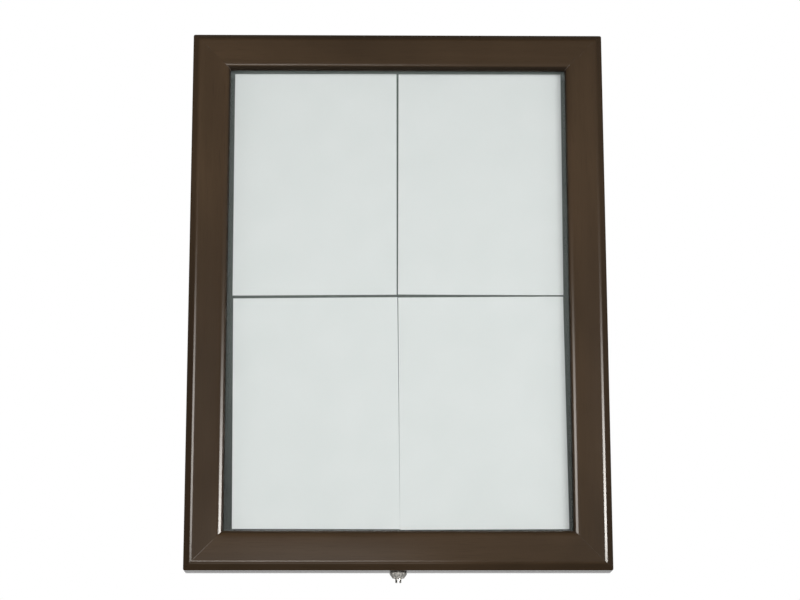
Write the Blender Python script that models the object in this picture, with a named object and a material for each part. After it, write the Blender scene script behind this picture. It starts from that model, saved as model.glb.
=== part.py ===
# Wall-hung information display: four sheets on a steel panel behind a glazed, top-hung wooden door.
# X runs to the right, Y into the wall and Z up. The origin is the centre of the back face.

import math
from collections import namedtuple

import bmesh
import bpy
from mathutils import Matrix, Vector

# Sheets on show, in metres, and the margins between them and the door's opening
SHEET_WIDTH = 0.210
SHEET_HEIGHT = 0.297
SHEET_THICKNESS = 0.0003
SHEET_GAP = 0.002
SHEET_LIFT = 0.0033
SIDE_MARGIN = 0.0052
END_MARGIN = 0.0012

# Depths of the door and of the case
DOOR_THICKNESS = 0.018
CASE_DEPTH = 0.0217

# Gaps
SEAM = 0.0003
CLEARANCE = 0.0003
OVERCUT = 0.0015

# Section of the door rails, measured inward from the outer edge and back from the front
RAIL_WIDTH = 0.0488
BEVEL_WIDTH = 0.0112
BEVEL_DEPTH = 0.0089
ARRIS_RADIUS = 0.005
MOULDING_WIDTH = 0.0093
LIP_DEPTH = 0.0072
LIP_THICKNESS = 0.0018
REBATE_WIDTH = 0.008

# Glazing
GLASS_THICKNESS = 0.003
GLASS_MARGIN = 0.001
STRIP_THICKNESS = 0.0008
STRIP_SETBACK = 0.001
BEAD_SETBACK = 0.0015
BEAD_ROUND = 0.0022

# Section of the case rails
CASE_RAIL_WIDTH = 0.044
CASE_WALL_WIDTH = 0.030
BACK_EDGE_WIDTH = 0.034
BACK_CHAMFER = 0.001

# What carries the sheets
SHEET_RECESS = 0.0074
PANEL_THICKNESS = 0.0012
BACK_BOARD_THICKNESS = 0.003

# Mitre keys of the door
KEY_THICKNESS = 0.002
KEY_LENGTH = 0.028
KEY_WIDTH = 0.012

# Hinges
HINGE_LENGTH = 0.060
HINGE_INSET = 0.095
HINGE_RISE = 0.0005
LEAF_WIDTH = 0.0185
LEAF_THICKNESS = 0.0012
KNUCKLE_COUNT = 5
KNUCKLE_RADIUS = 0.0025
HINGE_PIN_RADIUS = 0.0012
HINGE_PIN_HEAD = 0.0015
HINGE_PIN_HEAD_RADIUS = 0.0021
HINGE_SCREW_SPACING = 0.040

# Lock, with heights measured up from the bottom edge of the case
LOCK_SETBACK = 0.0102
LOCK_WALL = 0.014
POCKET_LEFT = 0.013
POCKET_RIGHT = 0.036
POCKET_DEPTH = 0.0179
ROSETTE_HEIGHT = 0.0079
ROSETTE_RADIUS = 0.011
ROSETTE_END_RADIUS = 0.0078
ROSETTE_RIM = 0.0012
ROSETTE_ROLL = 0.0014
ROSETTE_CURVE = 1.6
ROSETTE_FLUTES = 16
FLUTE_DEPTH = 0.0006
BARREL_RADIUS = 0.0055
BARREL_SINK = 0.005
BARREL_RISE = 0.0011
NUT_WIDTH = 0.014
NUT_HEIGHT = 0.0035
NOSE_RADIUS = 0.00385
NOSE_LENGTH = 0.0055
NOSE_EDGE = 0.0005
NOSE_SLOT_WIDTH = 0.0026
NOSE_SLOT_DEPTH = 0.006
SPINDLE_RADIUS = 0.0034
TANG_WIDTH = 0.0036
CAM_REACH = 0.0095
CAM_TIP_RADIUS = 0.00325
CAM_HUB_RADIUS = 0.0046
CAM_THICKNESS = 0.002

# Strike hook on the door
HOOK_METAL = 0.0015
HOOK_HEIGHT = 0.009
HOOK_BASE_LENGTH = 0.020
HOOK_LIP_LENGTH = 0.0075
HOOK_CAM_GAP = 0.00045
HOOK_END_GAP = 0.0025
HOOK_NUT_GAP = 0.0008

# Hangers in the back of the top case rail
HANGER_SIDE_INSET = 0.155
HANGER_LENGTH = 0.044
HANGER_HEIGHT = 0.018
HANGER_THICKNESS = 0.0015
HANGER_INSET = 0.017
KEYHOLE_RADIUS = 0.0043
KEYHOLE_SLOT_RADIUS = 0.0023
KEYHOLE_RISE = 0.0075
KEYHOLE_DROP = 0.003
HANGER_POCKET_DEPTH = 0.009
HANGER_SCREW_SPACING = 0.034

# Bumper pads on the case
BUMPER_RADIUS = 0.004
BUMPER_THICKNESS = 0.0015
BUMPER_INSET = 0.060
BUMPER_HEIGHT = 0.015

# Fasteners
HEAD_LAND = 0.0001
Screw = namedtuple("Screw", "head_radius head_height shank_radius length")
HINGE_SCREW = Screw(0.0021, 0.0011, 0.0010, 0.0115)
HOOK_SCREW = Screw(0.0024, 0.0013, 0.0012, 0.0105)
HANGER_SCREW = Screw(0.0024, 0.0013, 0.0012, 0.0085)
CAM_SCREW = Screw(0.0030, 0.0015, 0.0011, 0.0060)

# Outer size of the frame, and the places of hinges and hangers off its middle
DISPLAY_WIDTH = 2 * (SHEET_WIDTH + SIDE_MARGIN + RAIL_WIDTH) + SHEET_GAP
DISPLAY_HEIGHT = 2 * (SHEET_HEIGHT + END_MARGIN + RAIL_WIDTH) + SHEET_GAP
HINGE_OFFSET = DISPLAY_WIDTH / 2 - HINGE_INSET
HANGER_OFFSET = DISPLAY_WIDTH / 2 - HANGER_SIDE_INSET

# Levels along Y
FRONT = -(DOOR_THICKNESS + SEAM + CASE_DEPTH)
DOOR_BACK = FRONT + DOOR_THICKNESS
CASE_FRONT = -CASE_DEPTH
LIP_BACK = FRONT + LIP_DEPTH + LIP_THICKNESS
GLASS_FRONT = LIP_BACK + CLEARANCE
STRIP_FRONT = GLASS_FRONT + GLASS_THICKNESS + CLEARANCE
BEAD_FRONT = STRIP_FRONT + STRIP_THICKNESS + CLEARANCE
SHEET_FRONT = CASE_FRONT + SHEET_RECESS
PANEL_FRONT = SHEET_FRONT + SHEET_THICKNESS + CLEARANCE
LEDGE = PANEL_FRONT + PANEL_THICKNESS + CLEARANCE
BACK_REBATE = -(BACK_BOARD_THICKNESS + CLEARANCE)

# Positions of the joint axes
TOP = DISPLAY_HEIGHT / 2
BOTTOM = -TOP
HINGE_AXIS = Vector((0, DOOR_BACK + SEAM / 2, TOP + HINGE_RISE))
LOCK_AXIS = Vector((0, CASE_FRONT + LOCK_SETBACK, BOTTOM))

# Heights of the lock pieces above the bottom edge
NUT_SEAT = LOCK_WALL + CLEARANCE
BARREL_TOP = NUT_SEAT + NUT_HEIGHT + BARREL_RISE
CAM_SEAT = BARREL_TOP + CLEARANCE
CAM_TOP = CAM_SEAT + CAM_THICKNESS
HOOK_SEAT = NUT_SEAT + NUT_HEIGHT + HOOK_NUT_GAP
POCKET_TOP = CASE_WALL_WIDTH + OVERCUT

# Where the glazing rebate starts, inward from the outer edge
REBATE_START = RAIL_WIDTH - REBATE_WIDTH
GLAZING_START = REBATE_START + CLEARANCE

SIDES = ("top", "bottom", "left", "right")
PIVOTS = {"left": -1, "right": 1}

# Finishes: colour, roughness, metallic
Finish = namedtuple("Finish", "colour roughness metallic")
DARK_LACQUER = Finish((0.040, 0.027, 0.019), 0.30, 0.0)
BARE_WOOD = Finish((0.400, 0.270, 0.150), 0.60, 0.0)
CLEAR_GLASS = Finish((0.850, 0.920, 0.890), 0.05, 0.0)
BLACK_RUBBER = Finish((0.020, 0.020, 0.020), 0.70, 0.0)
PANEL_PAINT = Finish((0.030, 0.036, 0.034), 0.50, 0.0)
PAPER = Finish((0.740, 0.770, 0.760), 0.80, 0.0)
HARDBOARD = Finish((0.180, 0.110, 0.060), 0.75, 0.0)
NICKEL = Finish((0.720, 0.700, 0.660), 0.15, 1.0)
ZINC = Finish((0.560, 0.560, 0.550), 0.40, 1.0)
BRASS = Finish((0.600, 0.430, 0.180), 0.30, 1.0)


def clear_scene():
    """Remove whatever objects the file starts with."""
    for thing in list(bpy.data.objects):
        bpy.data.objects.remove(thing)


def make_material(name, finish):
    """One plain surface material, named after its piece."""
    material = bpy.data.materials.new(name)
    material.use_nodes = True
    shader = material.node_tree.nodes["Principled BSDF"]
    shader.inputs["Base Color"].default_value = (*finish.colour, 1)
    shader.inputs["Roughness"].default_value = finish.roughness
    shader.inputs["Metallic"].default_value = finish.metallic
    return material


def make_pivot(name, point):
    """An empty on a joint axis, or at the origin for the fixed case."""
    pivot = bpy.data.objects.new(name, None)
    pivot.location = point
    bpy.context.collection.objects.link(pivot)
    return pivot


def make_object(name, shape, body, origin):
    """An object from geometry in world coordinates, with its own origin at the given point."""
    origin = Vector(origin)
    bmesh.ops.recalc_face_normals(shape, faces=shape.faces)
    bmesh.ops.translate(shape, verts=shape.verts, vec=-origin)
    mesh = bpy.data.meshes.new(name)
    shape.to_mesh(mesh)
    shape.free()
    thing = bpy.data.objects.new(name, mesh)
    bpy.context.collection.objects.link(thing)
    thing.parent = body
    thing.location = origin - body.location
    return thing


def make_piece(name, shape, finish, body, origin, smooth_angle=0):
    """A visible piece with its finish, smooth where its faces meet at less than the angle."""
    piece = make_object(name, shape, body, origin)
    piece.data.materials.append(make_material(name, finish))
    if smooth_angle:
        piece.data.shade_smooth()
        piece.data.set_sharp_from_angle(angle=math.radians(smooth_angle))
    return piece


def make_cutter(name, shape, body):
    """A hidden solid that other pieces are cut or joined with."""
    cutter = make_object(name, shape, body, body.location)
    cutter.hide_render = True
    cutter.display_type = "WIRE"
    return cutter


def combine(piece, tool, operation="DIFFERENCE"):
    """Cut the piece with a hidden solid, or join that solid to it."""
    boolean = piece.modifiers.new(tool.name, "BOOLEAN")
    boolean.operation = operation
    boolean.solver = "EXACT"
    boolean.object = tool


def arc(centre, radius, start, end, steps):
    """Points on a circle, from one angle in degrees to another."""
    points = []
    for step in range(steps + 1):
        angle = math.radians(start + (end - start) * step / steps)
        x = centre[0] + radius * math.cos(angle)
        y = centre[1] + radius * math.sin(angle)
        points.append((x, y))
    return points


def add_box(shape, low, high):
    """A box between two opposite corners."""
    low = Vector(low)
    high = Vector(high)
    size = high - low
    matrix = Matrix.Translation((low + high) / 2) @ Matrix.Diagonal((*size, 1))
    bmesh.ops.create_cube(shape, size=1, matrix=matrix)


def add_prism(shape, outline, travel):
    """An outline of points in space, drawn along a straight line."""
    face = shape.faces.new([shape.verts.new(point) for point in outline])
    grown = bmesh.ops.extrude_face_region(shape, geom=[face], use_keep_orig=True)
    moved = [item for item in grown["geom"] if isinstance(item, bmesh.types.BMVert)]
    bmesh.ops.translate(shape, verts=moved, vec=travel)


def add_turned(shape, profile, base, direction, segments, closed=False):
    """A turned solid: its profile lists (radius, height) and stands at base along direction."""
    older = set(shape.verts)
    line = [shape.verts.new((radius, 0, height)) for radius, height in profile]
    edges = [shape.edges.new(pair) for pair in zip(line, line[1:])]
    if closed:
        edges.append(shape.edges.new((line[-1], line[0])))
    bmesh.ops.spin(shape, geom=line + edges, cent=(0, 0, 0), axis=(0, 0, 1),
                   angle=math.tau, steps=segments, use_merge=True)
    made = [vertex for vertex in shape.verts if vertex not in older]
    bmesh.ops.remove_doubles(shape, verts=made, dist=1e-6)
    made = [vertex for vertex in shape.verts if vertex not in older]
    turn = Vector((0, 0, 1)).rotation_difference(Vector(direction)).to_matrix().to_4x4()
    bmesh.ops.transform(shape, matrix=Matrix.Translation(base) @ turn, verts=made)
    return made


def side_axes(side):
    """The direction along one side and the direction inward from it."""
    axes = {
        "top": (Vector((1, 0, 0)), Vector((0, 0, -1))),
        "bottom": (Vector((1, 0, 0)), Vector((0, 0, 1))),
        "left": (Vector((0, 0, 1)), Vector((1, 0, 0))),
        "right": (Vector((0, 0, 1)), Vector((-1, 0, 0))),
    }
    return axes[side]


def side_sizes(side):
    """Half the length of one side and its distance from the centre."""
    if side in ("top", "bottom"):
        return DISPLAY_WIDTH / 2, DISPLAY_HEIGHT / 2
    return DISPLAY_HEIGHT / 2, DISPLAY_WIDTH / 2


def side_point(side, along, inward, level):
    """A point given along one side, inward from its outer edge and by its level in Y."""
    run, inner = side_axes(side)
    reach = side_sizes(side)[1]
    return run * along - inner * (reach - inward) + Vector((0, level, 0))


def mitred_bar(side, section):
    """A bar along one side with mitred ends; its section lists (inward, level) points."""
    shape = bmesh.new()
    run = side_axes(side)[0]
    half_length = side_sizes(side)[0]
    retreat = CLEARANCE / math.sqrt(2)
    start = []
    for inward, level in section:
        end = half_length - inward - retreat
        start.append(shape.verts.new(side_point(side, -end, inward, level)))
    face = shape.faces.new(start)
    grown = bmesh.ops.extrude_face_region(shape, geom=[face], use_keep_orig=True)
    for vertex in grown["geom"]:
        if isinstance(vertex, bmesh.types.BMVert):
            vertex.co -= run * (2 * vertex.co.dot(run))
    return shape


def bevel_turn():
    """Slope of the outer bevel in degrees: a line from the outer edge that touches the round arris."""
    rise = BEVEL_DEPTH - ARRIS_RADIUS
    touch = math.asin(ARRIS_RADIUS / math.hypot(BEVEL_WIDTH, rise))
    return math.degrees(math.atan2(rise, BEVEL_WIDTH) + touch)


def door_section():
    """Section of a door rail: outer bevel, flat face, inner moulding, lip and glazing rebate."""
    section = [(0, DOOR_BACK), (0, FRONT + BEVEL_DEPTH)]
    centre = (BEVEL_WIDTH, FRONT + ARRIS_RADIUS)
    section += arc(centre, ARRIS_RADIUS, -90 - bevel_turn(), -90, 5)
    moulding_steps = 9
    for step in range(moulding_steps + 1):
        angle = math.pi / 2 * step / moulding_steps
        inward = RAIL_WIDTH - MOULDING_WIDTH * (1 - math.sin(angle))
        level = FRONT + LIP_DEPTH * (1 - math.cos(angle))
        section.append((inward, level))
    section.append((RAIL_WIDTH, LIP_BACK))
    section.append((REBATE_START, LIP_BACK))
    section.append((REBATE_START, DOOR_BACK))
    return section


def case_section():
    """Section of a case rail: outer wall, ledge for the panel and rebate for the back board."""
    return [
        (0, CASE_FRONT),
        (CASE_WALL_WIDTH, CASE_FRONT),
        (CASE_WALL_WIDTH, LEDGE),
        (CASE_RAIL_WIDTH, LEDGE),
        (CASE_RAIL_WIDTH, BACK_REBATE),
        (BACK_EDGE_WIDTH, BACK_REBATE),
        (BACK_EDGE_WIDTH, 0),
        (BACK_CHAMFER, 0),
        (0, -BACK_CHAMFER),
    ]


def bead_section():
    """Section of a glazing bead, with its free back corner rounded."""
    inner = RAIL_WIDTH - BEAD_SETBACK
    centre = (inner - BEAD_ROUND, DOOR_BACK - BEAD_ROUND)
    section = [(GLAZING_START, DOOR_BACK), (GLAZING_START, BEAD_FRONT), (inner, BEAD_FRONT)]
    section += arc(centre, BEAD_ROUND, 0, 90, 4)
    return section


def strip_section():
    """Section of the rubber glazing strip between the glass and its bead."""
    inner = RAIL_WIDTH - STRIP_SETBACK
    back = STRIP_FRONT + STRIP_THICKNESS
    return [(GLAZING_START, STRIP_FRONT), (inner, STRIP_FRONT), (inner, back), (GLAZING_START, back)]


def rail_name(side):
    """Rails run across at top and bottom, and stiles stand at the sides."""
    return side + ("_rail" if side in ("top", "bottom") else "_stile")


def key_outline(growth):
    """Lens-shaped outline of a mitre key: points along its length and across it."""
    half_length = KEY_LENGTH / 2
    half_width = KEY_WIDTH / 2
    radius = (half_length ** 2 + half_width ** 2) / (2 * half_width)
    turn = math.degrees(math.asin(half_length / radius))
    bow = arc((0, half_width - radius), radius + growth, 90 - turn, 90 + turn, 6)
    return bow + [(-x, -y) for x, y in bow]


def add_key(shape, side_x, side_z, growth=0):
    """The key across one corner joint of the door, or its slot when grown."""
    middle = (BEVEL_WIDTH + RAIL_WIDTH - MOULDING_WIDTH) / 2
    thickness = KEY_THICKNESS + 2 * growth
    level = (FRONT + DOOR_BACK - thickness) / 2
    reach_x = DISPLAY_WIDTH / 2 - middle
    reach_z = DISPLAY_HEIGHT / 2 - middle
    corner = Vector((side_x * reach_x, level, side_z * reach_z))
    inner = Vector((-side_x, 0, -side_z)).normalized()
    across = Vector((side_x, 0, -side_z)).normalized()
    outline = [corner + across * x + inner * y for x, y in key_outline(growth)]
    add_prism(shape, outline, (0, thickness, 0))
    return corner


def countersunk(screw, growth=0):
    """Profile of a screw with a flush head, or of its hole when grown."""
    above = OVERCUT if growth else 0
    return [
        (0, -above),
        (screw.head_radius + growth, -above),
        (screw.head_radius + growth, HEAD_LAND),
        (screw.shank_radius + growth, screw.head_height),
        (screw.shank_radius + growth, screw.length - screw.shank_radius),
        (0, screw.length + growth),
    ]


def dome(radius, base, rise):
    """Quarter-ellipse profile of a domed head, from its middle out to its rim."""
    steps = 3
    turns = [math.pi / 2 * step / steps for step in range(steps + 1)]
    return [(radius * math.sin(turn), base - rise * math.cos(turn)) for turn in turns]


def domed(screw, growth=0):
    """Profile of a screw with a domed head that stands on its plate, or of its hole when grown."""
    tip = screw.length - screw.shank_radius
    if growth:
        outer = screw.shank_radius + growth
        return [(0, -OVERCUT), (outer, -OVERCUT), (outer, tip), (0, screw.length + growth)]
    seat = -CLEARANCE
    shank = [(screw.shank_radius, seat), (screw.shank_radius, tip), (0, screw.length)]
    return dome(screw.head_radius, seat, screw.head_height) + shank


def spread(span, count):
    """Evenly spaced places over a span about the middle."""
    if count == 1:
        return [0.0]
    return [span * (step / (count - 1) - 0.5) for step in range(count)]


def hinge_screw_points(side, level):
    """The screws of one hinge leaf."""
    height = HINGE_AXIS.z - (LEAF_WIDTH + KNUCKLE_RADIUS) / 2
    middle = PIVOTS[side] * HINGE_OFFSET
    return [Vector((middle + offset, level, height)) for offset in spread(HINGE_SCREW_SPACING, 2)]


def hook_corner():
    """The inner corner where the hook's leg meets the door, clear of the turning cam."""
    return CAM_REACH + HOOK_END_GAP


def hook_screw_points():
    """Two screws through the base of the strike hook."""
    middle = hook_corner() + HOOK_METAL + HOOK_BASE_LENGTH / 2
    height = BOTTOM + HOOK_SEAT + HOOK_HEIGHT / 2
    level = DOOR_BACK + CLEARANCE + HOOK_METAL
    return [Vector((middle + offset, level, height)) for offset in spread(HOOK_BASE_LENGTH / 2, 2)]


def hanger_screw_points(side):
    """The screws of one hanger plate."""
    height = TOP - HANGER_INSET
    middle = PIVOTS[side] * HANGER_OFFSET
    return [Vector((middle + offset, 0, height)) for offset in spread(HANGER_SCREW_SPACING, 2)]


def bumper_point(side):
    """Centre of one bumper pad on the front of the bottom case rail."""
    return Vector((PIVOTS[side] * (DISPLAY_WIDTH / 2 - BUMPER_INSET), CASE_FRONT, BOTTOM + BUMPER_HEIGHT))


def screw_hole_cutter(name, body, sets):
    """The holes for several sets of screws: each has a profile, its points and a direction."""
    shape = bmesh.new()
    for profile, points, direction in sets:
        for point in points:
            add_turned(shape, profile, point, direction, 10)
    return make_cutter(name, shape, body)


def door_hole_cutter(body):
    """Every hole that a screw needs in the door and what it carries."""
    hinge_holes = countersunk(HINGE_SCREW, CLEARANCE)
    hook_holes = countersunk(HOOK_SCREW, CLEARANCE)
    sets = [
        (hinge_holes, hinge_screw_points("left", DOOR_BACK), (0, -1, 0)),
        (hinge_holes, hinge_screw_points("right", DOOR_BACK), (0, -1, 0)),
        (hook_holes, hook_screw_points(), (0, -1, 0)),
    ]
    return screw_hole_cutter("door_screw_holes", body, sets)


def case_hole_cutter(body):
    """Every hole that a screw needs in the case and what it carries."""
    hinge_holes = countersunk(HINGE_SCREW, CLEARANCE)
    hanger_holes = countersunk(HANGER_SCREW, CLEARANCE)
    sets = [
        (hinge_holes, hinge_screw_points("left", CASE_FRONT), (0, 1, 0)),
        (hinge_holes, hinge_screw_points("right", CASE_FRONT), (0, 1, 0)),
        (hanger_holes, hanger_screw_points("left"), (0, -1, 0)),
        (hanger_holes, hanger_screw_points("right"), (0, -1, 0)),
    ]
    return screw_hole_cutter("case_screw_holes", body, sets)


def gain_cutter(name, body):
    """Round gains along the top edge that take the hinge knuckles and the pin heads."""
    shape = bmesh.new()
    length = HINGE_LENGTH + 2 * (HINGE_PIN_HEAD + 2 * CLEARANCE)
    radius = KNUCKLE_RADIUS + CLEARANCE
    for sign in PIVOTS.values():
        centre = HINGE_AXIS + Vector((sign * HINGE_OFFSET - length / 2, 0, 0))
        add_turned(shape, [(0, 0), (radius, 0), (radius, length), (0, length)], centre, (1, 0, 0), 24)
    return make_cutter(name, shape, body)


def mortise_cutter(name, body, near, far):
    """Flat mortises that take the hinge leaves, between two levels."""
    shape = bmesh.new()
    half_length = HINGE_LENGTH / 2 + CLEARANCE
    foot = HINGE_AXIS.z - LEAF_WIDTH - CLEARANCE
    for sign in PIVOTS.values():
        middle = sign * HINGE_OFFSET
        add_box(shape, (middle - half_length, near, foot), (middle + half_length, far, TOP + OVERCUT))
    return make_cutter(name, shape, body)


def make_door_rails(body, holes):
    """Four mitred rails of the door, the top one cut for the hinges."""
    slots = bmesh.new()
    for side_x in (-1, 1):
        for side_z in (-1, 1):
            add_key(slots, side_x, side_z, CLEARANCE)
    key_slots = make_cutter("door_key_slots", slots, body)
    for side in SIDES:
        origin = side_point(side, 0, RAIL_WIDTH / 2, FRONT)
        name = "door_" + rail_name(side)
        rail = make_piece(name, mitred_bar(side, door_section()), DARK_LACQUER, body, origin, 35)
        combine(rail, key_slots)
        if side == "top":
            near = DOOR_BACK - LEAF_THICKNESS - CLEARANCE
            combine(rail, mortise_cutter("door_hinge_mortises", body, near, DOOR_BACK + OVERCUT))
            combine(rail, gain_cutter("door_hinge_gains", body))
        combine(rail, holes)


def make_door_keys(body):
    """Mitre keys glued across the four corner joints."""
    for row, side_z in (("upper", 1), ("lower", -1)):
        for column, side_x in (("left", -1), ("right", 1)):
            shape = bmesh.new()
            corner = add_key(shape, side_x, side_z)
            make_piece(row + "_" + column + "_mitre_key", shape, BARE_WOOD, body, corner)


def make_glass(body):
    """The pane, which rests in the rebate behind the lip."""
    shape = bmesh.new()
    half_width = DISPLAY_WIDTH / 2 - REBATE_START - GLASS_MARGIN
    half_height = DISPLAY_HEIGHT / 2 - REBATE_START - GLASS_MARGIN
    low = (-half_width, GLASS_FRONT, -half_height)
    high = (half_width, GLASS_FRONT + GLASS_THICKNESS, half_height)
    add_box(shape, low, high)
    make_piece("glass_pane", shape, CLEAR_GLASS, body, (0, GLASS_FRONT, 0))


def make_glazing(body):
    """Rubber strips against the back of the glass, and the beads that hold them."""
    for side in SIDES:
        origin = side_point(side, 0, GLAZING_START, BEAD_FRONT)
        strip = mitred_bar(side, strip_section())
        make_piece(side + "_glazing_strip", strip, BLACK_RUBBER, body, origin)
        bead = mitred_bar(side, bead_section())
        make_piece(side + "_glazing_bead", bead, DARK_LACQUER, body, origin, 35)


def leaf_section(sign):
    """Section of a knuckle and its neck about the hinge axis; sign is -1 on the door, 1 on the case."""
    near = SEAM / 2
    far = near + LEAF_THICKNESS
    foot = -(KNUCKLE_RADIUS + CLEARANCE + LEAF_THICKNESS)
    start = math.degrees(math.asin(far / KNUCKLE_RADIUS)) - 90
    end = math.degrees(math.asin(near / KNUCKLE_RADIUS)) + 270
    outline = [(far, foot)] + arc((0, 0), KNUCKLE_RADIUS, start, end, 20) + [(near, foot)]
    return [(sign * y, z) for y, z in outline]


def knuckle_solids(side_x, sign):
    """Every second knuckle of a hinge: the odd ones on the door, the even ones on the case."""
    shape = bmesh.new()
    pitch = HINGE_LENGTH / KNUCKLE_COUNT
    for index in range(KNUCKLE_COUNT):
        on_door = index % 2 == 1
        if on_door == (sign < 0):
            left = side_x * HINGE_OFFSET - HINGE_LENGTH / 2 + index * pitch
            start = left + (CLEARANCE / 2 if index else 0)
            end = left + pitch - (CLEARANCE / 2 if index < KNUCKLE_COUNT - 1 else 0)
            outline = [HINGE_AXIS + Vector((start, y, z)) for y, z in leaf_section(sign)]
            add_prism(shape, outline, (end - start, 0, 0))
    return shape


def make_hinge_leaf(name, body, side_x, sign, holes):
    """A flat leaf with its knuckles, bored for the pin and countersunk for its screws."""
    shape = bmesh.new()
    middle = side_x * HINGE_OFFSET
    near = HINGE_AXIS.y + sign * SEAM / 2
    far = near + sign * LEAF_THICKNESS
    low = (middle - HINGE_LENGTH / 2, min(near, far), HINGE_AXIS.z - LEAF_WIDTH)
    high = (middle + HINGE_LENGTH / 2, max(near, far), HINGE_AXIS.z - KNUCKLE_RADIUS - CLEARANCE)
    add_box(shape, low, high)
    leaf = make_piece(name, shape, BRASS, body, HINGE_AXIS + Vector((middle, 0, 0)), 40)
    combine(leaf, make_cutter(name + "_knuckles", knuckle_solids(side_x, sign), body), "UNION")
    bore = bmesh.new()
    radius = HINGE_PIN_RADIUS + CLEARANCE
    length = HINGE_LENGTH + 2 * OVERCUT
    start = HINGE_AXIS + Vector((middle - length / 2, 0, 0))
    add_turned(bore, [(0, 0), (radius, 0), (radius, length), (0, length)], start, (1, 0, 0), 16)
    combine(leaf, make_cutter(name + "_bore", bore, body))
    combine(leaf, holes)


def make_hinge_pin(name, body, side_x):
    """A pin with a rounded head at each end of the knuckles."""
    shape = bmesh.new()
    half = HINGE_LENGTH / 2 + CLEARANCE
    profile = dome(HINGE_PIN_HEAD_RADIUS, -half, HINGE_PIN_HEAD) + [(HINGE_PIN_RADIUS, -half)]
    profile += [(radius, -height) for radius, height in reversed(profile)]
    middle = HINGE_AXIS + Vector((side_x * HINGE_OFFSET, 0, 0))
    add_turned(shape, profile, middle, (1, 0, 0), 12)
    make_piece(name, shape, BRASS, body, middle, 40)


def make_screws(name, body, profile, points, direction, finish):
    """One screw at each point, as copies of the first."""
    shape = bmesh.new()
    add_turned(shape, profile, points[0], direction, 10)
    first = make_piece(name + "_1", shape, finish, body, points[0], 40)
    for number, point in enumerate(points[1:], 2):
        copy = bpy.data.objects.new(name + "_" + str(number), first.data)
        bpy.context.collection.objects.link(copy)
        copy.parent = body
        copy.location = point - body.location


def hook_outline():
    """Bent strip of the strike hook, seen from above: base on the door, leg back and lip to the left."""
    inner = hook_corner()
    outer = inner + HOOK_METAL
    base_front = DOOR_BACK + CLEARANCE
    lip_front = LOCK_AXIS.y + CAM_TIP_RADIUS + HOOK_CAM_GAP
    lip_back = lip_front + HOOK_METAL
    bend = HOOK_METAL
    points = [(outer + HOOK_BASE_LENGTH, base_front), (outer + HOOK_BASE_LENGTH, base_front + HOOK_METAL)]
    points.append((outer, base_front + HOOK_METAL))
    points += arc((outer - bend, lip_back - bend), bend, 0, 90, 3)
    points.append((outer - HOOK_LIP_LENGTH, lip_back))
    points.append((outer - HOOK_LIP_LENGTH, lip_front))
    points.append((inner, lip_front))
    points += arc((inner + bend, base_front + bend), bend, 180, 270, 3)
    return points


def make_strike_hook(body, holes):
    """The hook on the back of the door that the lock's cam holds."""
    shape = bmesh.new()
    foot = BOTTOM + HOOK_SEAT
    add_prism(shape, [Vector((x, y, foot)) for x, y in hook_outline()], (0, 0, HOOK_HEIGHT))
    origin = (hook_corner(), DOOR_BACK, foot)
    hook = make_piece("strike_hook", shape, ZINC, body, origin)
    combine(hook, holes)


def make_case_rails(body, holes):
    """Four mitred rails of the case, with the lock pocket below and hinges and hangers above."""
    for side in SIDES:
        origin = side_point(side, 0, CASE_WALL_WIDTH / 2, 0)
        name = "case_" + rail_name(side)
        rail = make_piece(name, mitred_bar(side, case_section()), DARK_LACQUER, body, origin)
        if side == "top":
            far = CASE_FRONT + LEAF_THICKNESS + CLEARANCE
            combine(rail, mortise_cutter("case_hinge_mortises", body, CASE_FRONT - OVERCUT, far))
            combine(rail, gain_cutter("case_hinge_gains", body))
            combine(rail, hanger_recess_cutter(body))
            combine(rail, hanger_pocket_cutter(body))
        if side == "bottom":
            combine(rail, lock_pocket_cutter(body))
            combine(rail, lock_bore_cutter(body))
            combine(rail, bumper_cutter(body))
        combine(rail, holes)


def lock_pocket_cutter(body):
    """Pocket behind the bottom wall where the cam turns and the hook enters."""
    shape = bmesh.new()
    low = (-POCKET_LEFT, CASE_FRONT - OVERCUT, BOTTOM + LOCK_WALL)
    high = (POCKET_RIGHT, CASE_FRONT + POCKET_DEPTH, BOTTOM + POCKET_TOP)
    add_box(shape, low, high)
    return make_cutter("lock_pocket", shape, body)


def lock_bore_cutter(body):
    """Round hole up through the bottom wall for the lock barrel."""
    shape = bmesh.new()
    radius = BARREL_RADIUS + CLEARANCE
    length = LOCK_WALL + 2 * OVERCUT
    start = LOCK_AXIS - Vector((0, 0, OVERCUT))
    add_turned(shape, [(0, 0), (radius, 0), (radius, length), (0, length)], start, (0, 0, 1), 24)
    return make_cutter("lock_bore", shape, body)


def bumper_cutter(body):
    """Shallow round seats for the bumper pads."""
    shape = bmesh.new()
    radius = BUMPER_RADIUS + CLEARANCE
    depth = BUMPER_THICKNESS + CLEARANCE
    for side in PIVOTS:
        profile = [(0, -OVERCUT), (radius, -OVERCUT), (radius, depth), (0, depth)]
        add_turned(shape, profile, bumper_point(side), (0, 1, 0), 16)
    return make_cutter("bumper_seats", shape, body)


def make_bumpers(body):
    """Two rubber pads that the lower corners of the door close on."""
    profile = [(0, 0), (BUMPER_RADIUS, 0), (BUMPER_RADIUS, BUMPER_THICKNESS), (0, BUMPER_THICKNESS)]
    for side in PIVOTS:
        shape = bmesh.new()
        add_turned(shape, profile, bumper_point(side), (0, 1, 0), 16)
        make_piece(side + "_door_bumper", shape, BLACK_RUBBER, body, bumper_point(side))


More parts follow.
